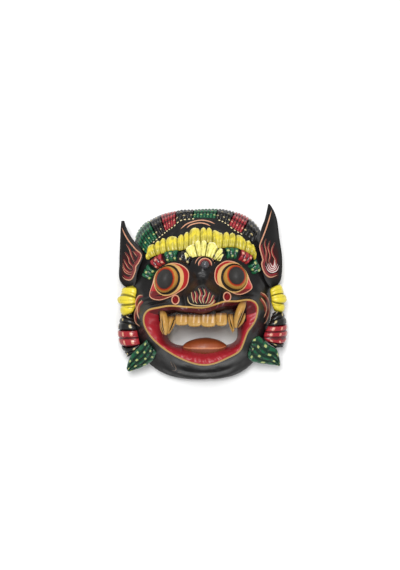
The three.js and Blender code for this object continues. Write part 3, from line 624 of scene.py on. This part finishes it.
for k, colour in enumerate(BAND_COLOURS):
    start, end = np.searchsorted(band_a[:, 0], BAND_BREAKS[k : k + 2])
    length = np.linalg.norm(np.diff(band_a[start:end], axis=0), axis=1).sum()
    ribs = max(3, round(length / RIB_PITCH))
    pick = np.linspace(start, min(end, BAND_STEPS), ribs * 10 + 1).astype(int)
    block = ribbed_block(
        band_a[pick], band_b[pick], 4.0, ribs, 3, 1.5, 1.4, around=26, dot=(0.3, 0.09), every=2, under=8,
        arch=0.5, drape=face_height,
    )
    new_piece(f"hair_band_{k + 1}", block, *beaded[colour])

# ------------
# Crown: a frill of fluted leaves over the brow with a fan-shaped palmette before its middle, both
# cut from the block and painted yellow. The olive in the cuts is partly a wash left there and partly
# painted shade. The leaves grow darker towards their foot as painted shade and paler along their top
# edge as painted highlight, and the palmette's paler yellow is partly painted highlight.
# x and y at the top of the leaves, then at their foot.
FRILL_EDGES = [(-64.5, 39, -62, 36.5), (-62.5, 51, -58, 40), (-51, 58, -50, 42.5), (-45, 61, -43.5, 44.5),
    (-38, 62.5, -37, 46), (-30, 63.5, -29, 46.5), (-21.5, 66, -21, 48), (-16, 69.5, -16, 50),
    (-11, 72.5, -10, 54), (-3, 73, -2, 56), (6.5, 73, 6, 56), (13.5, 71, 13, 53), (19, 67.5, 18.5, 49.5),
    (24.5, 68, 23, 50), (34, 67, 32, 51), (40.5, 65.5, 40, 50), (48.5, 60.5, 47, 46.5),
    (55, 57, 53, 43.5), (59.5, 51.5, 57, 41.5), (61, 45, 58.5, 39.5), (60, 38.5, 59, 36.5)]
PALMETTE_EDGES = [(-19, 38.5, -17.5, 38), (-20, 44, -15.5, 38), (-18, 49.5, -12.5, 38.5),
    (-13, 52.5, -9, 39.5), (-9.5, 56.5, -5.5, 40), (-1.5, 58, -1.5, 40.5), (6, 57, 3, 40.3),
    (13, 55, 7, 39.5), (17, 51, 10.5, 38), (21.5, 48, 13.5, 36.5), (23, 42, 16, 35.5),
    (19.5, 35, 18.5, 34.8)]
# Paint of the frill, in order: olive towards the foot of each leaf as painted shade, olive in random
# patches, olive in the cuts that is partly a wash and partly painted shade, and a pale edge along the top
# as painted highlight.
YELLOW_LAYERS = [("foot", "#B0A32E"), ("wash", "#A99C24"), ("groove_shade", "#857A1E"), ("crest", "#DDD68A")]
PALE_LAYERS = [("wash", "#C4B94C"), ("groove_shade", "#6F6820"), ("crest", "#EFEAB4")]
yellow_paint = painted(
    "yellow_paint", YELLOW, YELLOW_LAYERS, roughness=0.28, streak=0.26, edge=1.2, gloss=0.5
)
# The palmette's paler yellow is partly its own colour and partly painted highlight.
pale_and_highlight_paint = painted(
    "pale_yellow_and_highlight_paint", "#DCD477", PALE_LAYERS, roughness=0.26, streak=0.16, edge=0.9, gloss=0.5
)
LEAF_SWAY = 0.22  # how uneven the flutes are


def scalloped(edge, foot, ribs, reach):
    """Moves an edge outwards from its foot by reach |sin| over the flutes, so each one ends round."""
    t = np.linspace(0, 1, len(edge))
    out = edge[:, :2] - foot[:, :2]
    out /= np.linalg.norm(out, axis=1, keepdims=True)
    turns = ribs * t + LEAF_SWAY * np.sin(2.1 * ribs * t)
    swing = reach * (np.abs(np.sin(math.pi * turns)) ** 0.6 - 0.6)
    return np.column_stack([edge[:, :2] + out * swing[:, None], edge[:, 2]])


LEAVES = (  # name, edges, flutes, reach of their ends, lift of top and foot off the face, bulge, paint
    ("crown_frill", FRILL_EDGES, 17, 2.6, (3.0, 3.0), 3.6, yellow_paint),
    ("palmette", PALMETTE_EDGES, 7, 2.4, (6.5, 4.0), 2.8, pale_and_highlight_paint),
)
for name, sides, ribs, reach, lift, height, paint in LEAVES:
    top, foot = edges_through(sides, face_height, face_height, ribs * 26 + 1)
    top[:, 2] += lift[0]
    foot[:, 2] += lift[1]
    top = scalloped(top, foot, ribs, reach)
    leaf = ribbed_block(top, foot, height, ribs, 1, 1.7, 0.0, around=24, under=7, flutes=3, sway=LEAF_SWAY)
    fields = leaf[2]
    t, s = fields["along"], fields["across"]
    wisps = 0.9 * np.sin(140 * t + 3 * s)
    # Darker towards the foot as painted shade, and paler along the top edge as painted highlight.
    fields["foot"] = (s - 0.62) * 6
    fields["wash"] = 1.6 * np.sin(61 * t + 5 * s) * np.sin(23 * t - 8 * s) + wisps - 1.1
    fields["crest"] = (0.1 - s) * 9 + 0.4 * np.sin(90 * t) - 0.2
    new_piece(name, leaf, paint, "yellow_paint")

# ------------
# Ears: pointed leaves with a dished front, leaning out from the temples. They are cut from the block
# and painted black, with a red-brown bowl.
EARS = {
    "left": {
        "edges": [(-95, 83, -91.5, 83), (-96, 74, -88.5, 74), (-96.5, 63, -83, 64), (-97, 52, -77, 56),
            (-97.5, 42, -71, 48.5), (-97.8, 31, -68.5, 40), (-98.4, 22, -72.5, 30),
            (-97.6, 14, -75.5, 21), (-94, 8, -77, 13), (-88.5, 4, -79, 7)],
        "za": [30, 29, 27, 25, 23, 20],
        "zb": [31, 38, 46, 50, 48, 34],
    },
    "right": {
        "edges": [(75.7, 101.4, 78, 101.4), (74, 93, 82.8, 93.5), (71.5, 83, 86.2, 84), (68, 74, 88, 73),
            (66, 64, 89.5, 62), (65, 54, 91.3, 52), (67, 43, 92.8, 42), (68, 32, 93.4, 31),
            (69.5, 23, 93.2, 22), (72, 15, 92, 14), (75.5, 9, 89, 8.5), (79.5, 5, 84.5, 4)],
        "za": [44, 46, 47, 47, 44, 33],
        "zb": [43, 40, 36, 31, 26, 20],
    },
}


def ear_skin(ear):
    """A leaf between two edges: dished by 0.12 of its width, with a rounded lip along both edges."""
    a, b = edges_through(ear["edges"], ear["za"], ear["zb"], 91)
    s = np.linspace(0, 1, 28)[None]
    width = np.linalg.norm(b - a, axis=1)[:, None]
    t = np.linspace(0, 1, 91)[:, None]
    top = mix(a[:, None], b[:, None], s[..., None])
    inset = np.minimum(s, 1 - s) * width
    lip = np.exp(-((inset / 2.2) ** 2))
    top[:, :, 2] -= 0.12 * width * np.sin(math.pi * s) ** 0.8
    top[:, :, 2] += 0.8 * (1 - np.exp(-inset)) * lip
    back = top[:, ::-1].copy()
    back[:, :, 2] -= (3 + 11 * smooth(t / 0.8)) * np.sin(math.pi * mix(0.08, 0.92, s)) ** 0.3
    centre = (a + b)[:, None] / 2
    back[:, :, :2] = mix(centre[:, :, :2], back[:, :, :2], 0.97)
    pad = np.full(s.shape, -5.0) + 0 * t
    bowl = np.minimum(np.minimum(inset - 5.0, (t - 0.5) * 40), (0.86 - t) * 60) + 0 * s
    return top, skin(np.concatenate([top, back], axis=1), {"bowl": np.concatenate([bowl, pad], axis=1)})


ear_paint = painted("ear_paint", BLACK, [("bowl", "#2F1212")], roughness=0.4, gloss=0.2, edge=4.0)
ear_front = {}
for side, ear in EARS.items():
    front, whole_ear = ear_skin(ear)
    ear_front[side] = front.reshape(-1, 3)
    new_piece(f"{side}_ear", whole_ear, ear_paint, "black_paint")

# ------------
# Side trim: yellow ear flowers in three lobes, egg-shaped rolls of hair tied in rings, and green
# leaf-shaped hair ends below them, all beaded like the band.
FLOWERS = {
    "left": [(-89, 6.3, -84, 6.3), (-93.5, 3.5, -77.5, 4), (-94, -1, -76.8, -1), (-93.6, -3.8, -78, -4),
        (-97.2, -6, -78, -6.5), (-99.6, -9, -78.2, -9), (-98, -12.6, -78, -12.6),
        (-94.5, -17, -78.5, -17), (-95, -20.5, -80, -20.5), (-93.5, -24.5, -81.5, -23.5),
        (-88, -27, -86, -26.7)],
    "right": [(86.5, 6.8, 82.5, 6), (91.5, 3.8, 79.5, 3), (93, -0.5, 79.3, -0.5), (94, -3.6, 79.8, -3.6),
        (97, -7, 80.2, -6.5), (97.4, -10.3, 80.8, -10), (94.5, -13.2, 80.8, -13),
        (93.3, -15.5, 81.5, -15.5), (94, -18.5, 82.5, -18), (92, -22, 84, -21), (88.5, -23.8, 87, -23.4)],
}
for side, edges in FLOWERS.items():
    a, b = edges_through(edges, [19, 23, 23, 19], [36, 39, 39, 34], 121)
    flower = ribbed_block(a, b, 8.0, 3, 1, 2.6, 0.0, under=10, arch=0.5, flutes=2, sway=-0.3)
    for field in ("foot", "wash", "crest"):
        flower[2][field] = flower[2]["across"] * 0 - 3
    new_piece(f"{side}_ear_flower", flower, yellow_paint, "yellow_paint")

HAIR_ROLLS = {
    "left": (
        [(-90.5, -27, -84, -28.5), (-95.5, -32.5, -79.5, -34), (-98.4, -40, -77.5, -40),
            (-99.2, -47.5, -76, -47.5), (-98.8, -55, -74.5, -54.5), (-96.2, -62, -73, -61.5),
            (-91, -68.5, -74, -67), (-82.5, -74, -79, -72.5)],
        (0.36, 0.68),
    ),
    "right": (
        [(87, -23.5, 83, -25), (93, -26.5, 81, -30), (97.5, -33.5, 78.5, -36.5), (99.2, -42, 74.5, -44),
            (99.6, -50, 71.5, -51), (97.8, -57, 73, -56), (93.5, -62.5, 79, -61.5), (88, -66.5, 86, -66)],
        (0.36, 0.8),
    ),
}
for side, (edges, breaks) in HAIR_ROLLS.items():
    a, b = edges_through(edges, [15, 19, 19, 15], [29, 36, 37, 30], 281)
    cuts = [0, round(breaks[0] * 280), round(breaks[1] * 280), 280]
    for k, colour in enumerate((BLACK, RED, BLACK)):
        part = slice(cuts[k], cuts[k + 1] + 1)
        ribs = max(1, round((cuts[k + 1] - cuts[k]) / 280 * 47 / 6))
        block = ribbed_block(
            a[part], b[part], 9.5, ribs, 3, 2.0, 0.4, around=30, dot=(0.25, 0.13),
            every=1 + (colour == BLACK), under=7.5, arch=0.62,
        )
        new_piece(f"{side}_hair_roll_{k + 1}", block, *beaded[colour])

HAIR_ENDS = {
    "left": [(-64, -54.6, -52, -69), (-70.5, -60.8, -54.6, -74.5), (-77.5, -67.5, -58.5, -80.5),
        (-83.6, -74, -66.5, -86.3), (-87, -81.5, -76.5, -90.5), (-89.2, -89.4, -86.4, -93.4)],
    "right": [(54, -54, 52.3, -69.5), (64.5, -51.3, 52.8, -76), (73, -58.3, 57.5, -81),
        (80, -63.8, 65.5, -83.4), (86.8, -67.5, 75.5, -85), (89.4, -75, 83.5, -86),
        (91, -84.5, 90, -86.8)],
}
for side, edges in HAIR_ENDS.items():
    a, b = edges_through(edges, [47, 40, 33, 28], [47, 37, 30, 27], 141)
    leaf = ribbed_block(a, b, 5.5, 6, 4, 0.5, 2.2, around=49, dot=(0.19, 0.2), every=2, under=14, arch=0.5)
    new_piece(f"{side}_hair_end", leaf, *beaded[GREEN])

# ------------
# Teeth: four blunt front teeth, and on each side a great and a slim fang with a narrow strip at either
# hand. They are cut from the block and painted ochre, with painted shade making them brown at the
# root under the lip and a painted highlight making them paler at the tip.
FRONT_TEETH = [  # left, right, root and biting edge
    (-30.4, -16.6, -25.4, -37.9), (-16.3, -1.9, -25.6, -39.2),
    (-1.5, 14.2, -25.2, -39.5), (14.5, 27.2, -23.6, -38.4),
]
# x, y, z and half width, from root to point.
FANGS = {
    "left_fang": [(-45.6, -20.6, 68, 3.0), (-44.2, -26, 73, 4.0), (-42.8, -34, 76, 4.6),
        (-42.2, -41, 75, 3.8), (-41.6, -48.5, 72, 1.3)],
    "right_fang": [(46, -10.6, 70, 3.4), (43.6, -17, 75, 4.6), (40.6, -25, 77, 4.6),
        (38.6, -32.5, 76, 3.6), (37.2, -40.5, 73, 1.3)],
    "left_slim_fang": [(-35.2, -27.5, 67, 4.2), (-36.4, -33, 70, 3.6), (-38.2, -40, 71, 2.4),
        (-39.6, -47, 69, 0.9)],
    "right_slim_fang": [(31.2, -25, 67, 3.4), (32, -31, 70, 3.0), (33.6, -38, 70, 2.0),
        (35, -44.6, 68, 0.8)],
    "left_inner_strip": [(-30.4, -30, 69, 1.3), (-32.2, -36, 70, 1.5), (-35.4, -42, 70, 1.2),
        (-38.6, -47.5, 68, 0.6)],
    "right_inner_strip": [(28.6, -27, 69, 1.0), (30, -34, 70, 1.2), (31.8, -40, 70, 1.0),
        (34.2, -46, 67, 0.5)],
    "left_outer_strip": [(-47.6, -33, 68, 0.6), (-47.6, -37.5, 70, 0.9), (-46.8, -42.5, 70, 0.9),
        (-44.6, -48, 68, 0.5)],
    "right_outer_strip": [(47.4, -24, 67, 1.2), (46.6, -29, 69, 1.8), (44.2, -35, 69, 1.8),
        (40.2, -40.5, 66, 0.8)],
}
FANG_CREASES = [[(-45.7, -27), (-45.5, -34), (-44.7, -40), (-42.9, -46)],
    [(45.4, -20), (42.6, -27.5), (40.4, -33), (38.6, -39)], [(-32.6, -31), (-34.4, -38), (-37.6, -45)],
    [(29.8, -27), (31.6, -35), (34.4, -42.5)]]
FANG_RINGS, FANG_AROUND = 48, 28
# Painted shade darkens each tooth at its root under the lip, and a painted highlight lightens its tip.
TOOTH_LAYERS = [("root_shade", "#5E3C1A"), ("tip_highlight", "#B9924F")]
tooth_paint = painted(
    "ochre_paint", "#A67C3A", TOOTH_LAYERS, roughness=0.32, streak=0.3, edge=3.0, gloss=0.4
)


def front_tooth(left, right, root, edge):
    """A squared, slightly waisted peg: rings down its length, each a superellipse of power 4.5."""
    middle = (left + right) / 2
    t = np.linspace(0, 1, 34)[:, None]
    a = np.linspace(0, 2 * math.pi, 44, endpoint=False)[None]
    square = (np.abs(np.cos(a)) ** 4.5 + np.abs(np.sin(a)) ** 4.5) ** (-1 / 4.5)
    wide = np.interp(t, [0, 0.3, 0.62, 0.84, 0.95, 1], [1.0, 1.04, 1.1, 1.02, 0.78, 0.4])
    thick = np.interp(t, [0, 0.7, 0.92, 1], [0.8, 1, 0.8, 0.4])
    x = middle + (right - left) / 2 * wide * square * np.cos(a)
    y = mix(root, edge, t) + 0 * a
    ripple = 0.5 * np.cos(2 * math.pi * (x - middle) / 9 + t)
    z = 75 - middle**2 / 130 + 5.5 * thick * square * np.sin(a) + ripple
    root_shade = (0.16 - t) * 14 + 0 * a
    return skin(np.stack([x, y, z], axis=2), {"root_shade": root_shade, "tip_highlight": (t - 0.72) * 9 + 0 * a})


def fang_skin(points):
    """A bent cone: rings down its length, a little deeper than wide, with a keel down its front."""
    path = curve_through(points, FANG_RINGS)
    a = np.linspace(0, 2 * math.pi, FANG_AROUND, endpoint=False)[None]
    half = path[:, 3:4]
    x = path[:, 0:1] + half * np.cos(a)
    y = path[:, 1:2] + 0 * a
    keel = 0.16 * np.exp(-(((a - math.pi / 2) / 0.35) ** 2))
    z = path[:, 2:3] + (0.4 * half + 1.6) * (1.15 * np.sin(a) + keel)
    t = np.linspace(0, 1, FANG_RINGS)[:, None] + 0 * a
    return skin(np.stack([x, y, z], axis=2), {"root_shade": (0.1 - t) * 14, "tip_highlight": (t - 0.7) * 8})


for k, tooth in enumerate(FRONT_TEETH):
    new_piece(f"front_tooth_{k + 1}", front_tooth(*tooth), tooth_paint, "ochre_paint")
fang_fronts = []
for name, points in FANGS.items():
    fang = fang_skin(points)
    rings = fang[0][: FANG_RINGS * FANG_AROUND].reshape(FANG_RINGS, FANG_AROUND, 3)
    fang_fronts.append(rings[:, 3:12].reshape(-1, 3))
    new_piece(name, fang, tooth_paint, "ochre_paint")

# ------------
# Tongue: a lens-shaped tongue lying in the jaw. It is cut from the block and painted orange-brown,
# with a painted highlight in a band across it where it turns under, and painted shade on its underside.
TONGUE_EDGES = [(-23.5, -63, -23, -64.4), (-18.5, -58.8, -18, -68.8), (-9, -55, -9, -71.6),
    (3, -53.4, 3, -72.4), (14, -54.8, 14, -71.6), (22, -58, 22, -68.8), (28, -62, 27.6, -63.4)]
a, b = edges_through(TONGUE_EDGES, [46, 48, 49, 48, 46], [54, 59, 60, 59, 54], 81)
swell = 7.5 * np.sin(np.linspace(0.06, math.pi - 0.06, 81)) ** 0.7
tongue = ribbed_block(a, b, swell, 1, 1, 0.0, 0.0, under=14, around=40, arch=0.7)
fields = tongue[2]
# A painted highlight in a band across the tongue, and painted shade below it on its underside.
fields["ridge"] = 0.8 - np.abs(fields["across"] - 0.73) * 26
fields["under"] = (fields["across"] - 0.76) * 16
TONGUE_LAYERS = [("under", "#6B3019"), ("ridge", "#B97650")]
tongue_paint = painted(
    "tongue_paint", "#87401F", TONGUE_LAYERS, roughness=0.4, streak=0.24, edge=1.4, gloss=0.36
)
new_piece("tongue", tongue, tongue_paint, "tongue_paint")

# ------------
# Painted lines: thick strokes that stand a little proud of the wood, in rose, gold, cream and red,
# tapering where the brush lifts. Touches of cream run along the foot of the hair band.


def over(spots):
    """A surface known by its points: their mean height, weighted by 1 / distance^4."""

    def height(x, y):
        far = (x[..., None] - spots[:, 0]) ** 2 + (y[..., None] - spots[:, 1]) ** 2
        weight = 1 / (far + 0.02) ** 2
        return (weight * spots[:, 2]).sum(axis=-1) / weight.sum(axis=-1)

    return height


def stroke(points, half, surface, rise=0.45, taper=0.12, closed=False):
    """A ribbon laid over a surface: half an ellipse in section, with tapering ends."""
    count = max(24, int(4 * np.hypot(*np.diff(np.asarray(points, float), axis=0).T).sum() / 3))
    path = curve_through(points, count, closed)
    normal = sideways(path, closed)
    t = np.linspace(0, 1, count)
    lift = np.ones(count) if closed else np.clip(np.minimum(t, 1 - t) / taper, 0.02, 1) ** 0.7
    s = np.array([-1, -0.8, -0.4, 0, 0.4, 0.8, 1, 0.5, -0.5])
    up = np.array([-0.2, 0.55, 0.9, 1, 0.9, 0.55, -0.2, -1.2, -1.2])
    x = path[:, 0:1] + normal[:, 0:1] * s * half * lift[:, None]
    y = path[:, 1:2] + normal[:, 1:2] * s * half * lift[:, None]
    z = surface(x, y) + up * rise * mix(0.3, 1, lift[:, None])
    return skin(np.stack([x, y, z], axis=2), looped=closed)


def arc(cx, cy, radius, start, end, squash=1.0):
    """Points on an arc, its angles in degrees from +X, turning towards +Y."""
    a = np.radians(np.linspace(start, end, 13))
    return np.column_stack([cx + radius * np.cos(a), cy + squash * radius * np.sin(a)]).tolist()


def beside(points, offset):
    """The same stroke moved sideways."""
    p = np.asarray(points, float)
    return (p + offset * sideways(p)).tolist()


CHEEK_LINES = [
    [(-68.5, -4), (-73.5, -4.5), (-77, -9), (-78, -14.5), (-77, -19.5), (-79, -25), (-79.5, -31.5),
        (-77.5, -36.5), (-72.5, -40)],
    [(-69.5, -9.5), (-74, -14.5), (-75.5, -19.5), (-75.5, -25), (-73, -31.5)],
    [(67, -6.5), (71.5, -12), (74.5, -18.5), (74, -24), (71, -30)],
    [(67, -0.5), (73, -4), (77.5, -10), (79, -18), (78, -27), (75, -34), (71, -37.5)],
]
NOSE_FLAMES = [[(-12.8, 0.3), (-11.8, -6.2), (-10, -12)],
    [(-9.2, 1.3), (-7.6, -4), (-8.2, -9.4), (-6, -13.2)],
    [(-4.9, 4.5), (-2.7, -1.9), (-3.8, -7.3), (-1.1, -13.2)],
    [(1, 4), (2.6, -2), (0, -7.4), (1.3, -13.2)], [(7.8, 0.3), (6.2, -4.6), (5.1, -9), (3, -12.8)],
    [(12, -3), (10, -7), (8.8, -10), (6.1, -12.7)], [(13.2, -8.4), (11.4, -11), (8.8, -13)]]
FLAME_BOWL = [(-17, -5.4), (-16.6, -9), (-14.8, -12.4), (-10.8, -14.3), (-5, -15.2), (1, -15.2),
    (7, -14.4), (11, -12.6), (14, -9.4)]
CHIN_CURLS = [
    [(-34.5, -80.5), (-32, -84.5), (-30.5, -89), (-32.5, -91.5), (-36, -91)],
    [(-37, -79), (-35.5, -83.5), (-33.5, -87.5)],
    [(-29.5, -93.8), (-26, -93), (-24, -94.2)],
]
EAR_LINES = {
    "left": [(-94.5, 75), (-91, 67), (-85.5, 58.3), (-77.5, 49), (-72, 44.4), (-71, 40.4), (-74, 33.8),
        (-77.4, 29.2), (-78, 24), (-81.5, 16.4), (-85.5, 13.6), (-91, 14.8), (-94.5, 18)],
    "right": [(80, 94.5), (75.2, 77.8), (70.5, 65), (67, 56.3), (66, 51.2), (68.2, 42.4), (69.8, 36.8),
        (68.3, 32.4), (69.8, 26), (73.5, 20), (79.6, 16.9), (88.6, 19.6)],
}
EAR_FLAMES = {
    "left": [
        [(-90, 56), (-85.8, 49.4), (-83.8, 43), (-81, 37), (-78.6, 32.4)],
        [(-91.5, 46.4), (-87, 39.4), (-85.8, 33.9), (-81.8, 29.4), (-80.8, 26)],
        [(-81.4, 47), (-78.2, 43.4), (-76, 40.2)],
        [(-93, 38), (-90, 32.4), (-86.6, 27.4), (-82, 25)],
        [(-94.2, 33.5), (-91.5, 26.4), (-85.6, 22.4), (-80.8, 23.6)],
        [(-94.6, 30), (-91.2, 23), (-85.2, 20), (-80.6, 21.2)],
    ],
    "right": [
        [(73.6, 62.3), (71.5, 55.6), (73.6, 46.8), (73.4, 38), (74.8, 31.2)],
        [(78, 60), (75.9, 51.2), (78, 42.4), (77, 35.6), (79.2, 29.4)],
        [(83.7, 57.8), (80.3, 49), (81.5, 42.4), (84.8, 36.8), (85.8, 29)],
        [(74.6, 33.4), (77.2, 27), (81, 24.8), (85.4, 26.8), (88, 33)],
        [(76.4, 33.4), (78.6, 28.6), (81.6, 26.6), (84.6, 29), (86, 34)],
        [(73.2, 30.6), (76, 25), (81, 22.6), (86.8, 24.8), (89.6, 31)],
        [(78.4, 34.4), (80.4, 30.4), (82.4, 29), (84, 32), (84.2, 38)],
    ],
}
rose, khaki, gold, red, pale_and_highlight = [], [], [], [], []
for line in CHEEK_LINES:
    rose.append(stroke(line, 0.75, on_face))
    inwards = 1.7 if line[0][0] < 0 else -1.7
    red.append(stroke(beside(line, inwards)[:-1], 1.2, on_face, rise=0.25))
for line in NOSE_FLAMES:
    khaki.append(stroke(line, 0.45, on_face))
    red.append(stroke(beside(line, 1.6), 1.1, on_face, rise=0.25, taper=0.4))
khaki.append(stroke(FLAME_BOWL, 0.65, on_face))
lip_line = np.stack([mouth_angle, mouth_reach + 1.1], axis=1)[::8]
lip_line = [(MOUTH_CENTRE[0] + r * math.cos(q), MOUTH_CENTRE[1] + r * math.sin(q)) for q, r in lip_line]
gold.append(stroke(lip_line, 1.05, on_face, closed=True))
for nx, ny in NOSTRILS:
    rose.append(stroke(arc(nx, ny, 4.1, 0, 330, 1.2), 0.75, on_face, closed=True, rise=0.9))
for side, line in EAR_LINES.items():
    height = over(ear_front[side])
    rose.append(stroke(line, 0.8, height))
    red.append(stroke(beside(line, -2.2 if side == "left" else 2.2)[3:], 1.5, height, rise=0.25))
    for k, flame in enumerate(EAR_FLAMES[side]):
        # On the right ear the swirling strokes are painted pale, partly as painted highlight.
        swirl = side == "right" and k > 2
        (pale_and_highlight if swirl else rose).append(stroke(flame, 0.7 if swirl else 0.36, height, taper=0.4))
        red.append(stroke(beside(flame, 1.1), 0.8, height, rise=0.2, taper=0.4))
rose.append(stroke([(-25.5, 72.5), (-17.5, 79), (-4, 83), (6.5, 82), (14.5, 78.5)], 0.7, on_face))
rose.append(stroke([(-18.5, 73.5), (-13.5, 77.5), (-4, 79.8), (4, 78.6), (9, 76)], 0.7, on_face))
rose.append(stroke(arc(2.7, 30.6, 7.4, -10, 190), 0.7, on_face))
rose.append(stroke(arc(2.7, 29.6, 11.4, 12, 172), 0.6, on_face, rise=0.8))
red.append(stroke(arc(2.7, 30.6, 6.0, -10, 190), 0.9, on_face, rise=0.4))
curls = [stroke(line, 0.5, on_face, taper=0.4) for line in CHIN_CURLS]
fang_front = over(np.concatenate(fang_fronts))
creases = [stroke(line, 0.65, fang_front, rise=0.6, taper=0.3) for line in FANG_CREASES]
for name, strokes, colour in (
    ("rose_lines", rose, ROSE),
    ("gold_lines", gold, GOLD),
    ("khaki_lines", khaki, "#BDA67C"),
    ("red_strokes", red, "#7A1A1F"),
    ("pale_and_highlight_lines", pale_and_highlight, "#D9C6C2"),
    ("chin_curls", curls, "#54412F"),
    ("fang_creases", creases, "#120F0E"),
):
    slot = "black_paint" if strokes is creases else "line_paint"
    new_piece(name, joined(strokes), painted(f"{name}_paint", colour, edge=0.2), slot)

dashes = []
for start in range(200, 1640, 52):
    run = band_b[start : start + 31 : 10, :2]
    if abs(run[0, 0] - 4) > 13:
        dashes.append(stroke(beside(run, -0.9), 0.75, on_face, taper=0.2, rise=0.8))
new_piece("band_foot_dashes", joined(dashes), painted("cream_dash_paint", CREAM, edge=0.2), "line_paint")

# ------------
# Boss: a small ball between the brows, cut from the block like a bead and painted a glossy
# grey-black, lighter than the face's black partly as painted sheen.
BOSS = {"x": 2.7, "y": 30.6, "radius": 4.9}
turn = np.linspace(0, 2 * math.pi, 40, endpoint=False)[None]
up = np.linspace(-0.4, math.pi / 2 - 0.03, 20)[:, None]
ball = np.stack([np.cos(up) * np.cos(turn), np.cos(up) * np.sin(turn), np.sin(up) + 0 * turn], axis=2)
boss_foot = face_height(np.array(BOSS["x"]), np.array(BOSS["y"])) + 0.5
ball = skin(ball * BOSS["radius"] + np.array([BOSS["x"], BOSS["y"], boss_foot]))
new_piece("brow_boss", ball, painted("boss_paint_and_sheen", "#3B3B40", roughness=0.22, gloss=0.7), "black_paint")

# ------------
# The table, a matt white board, with the lamps of a small studio round it: one key, one that grazes
# the crown and one that fills the shade by the chin. The camera looks straight down.
mesh = bpy.data.meshes.new("table")
mesh.from_pydata([(-3, -3, 0), (3, -3, 0), (3, 3, 0), (-3, 3, 0)], [], [(0, 1, 2, 3)])
table = bpy.data.objects.new("table", mesh)
bpy.context.scene.collection.objects.link(table)
board = bpy.data.materials.new("white_table")
board.use_nodes = True
board.node_tree.nodes["Principled BSDF"].inputs["Base Color"].default_value = (0.9, 0.9, 0.9, 1)
board.node_tree.nodes["Principled BSDF"].inputs["Roughness"].default_value = 0.9
mesh.materials.append(board)

LAMPS = (  # name, place in metres, size in metres and power in watts
    ("key", (-0.12, 0.3, 1.45), 0.5, 15.5),
    ("top", (0.1, 0.95, 0.95), 0.3, 4),
    ("fill", (0.25, -0.85, 0.95), 0.4, 2.4),
)
for name, place, size, power in LAMPS:
    data = bpy.data.lights.new(name, "AREA")
    data.shape, data.size, data.energy = "DISK", size, power
    lamp = bpy.data.objects.new(name, data)
    lamp.location = place
    lamp.rotation_euler = (-Vector(place)).to_track_quat("-Z", "Y").to_euler()
    bpy.context.scene.collection.objects.link(lamp)

world = bpy.data.worlds.new("studio")
world.use_nodes = True
world.node_tree.nodes["Background"].inputs[0].default_value = (1, 1, 1, 1)
world.node_tree.nodes["Background"].inputs[1].default_value = 0.52
bpy.context.scene.world = world

camera_data = bpy.data.cameras.new("camera")
camera_data.lens, camera_data.sensor_width = 63.16, 36
camera = bpy.data.objects.new("camera", camera_data)
camera.location = (-0.00275, 0.0091, 1.2)
bpy.context.scene.collection.objects.link(camera)
bpy.context.scene.camera = camera
bpy.context.scene.view_settings.view_transform = "Standard"
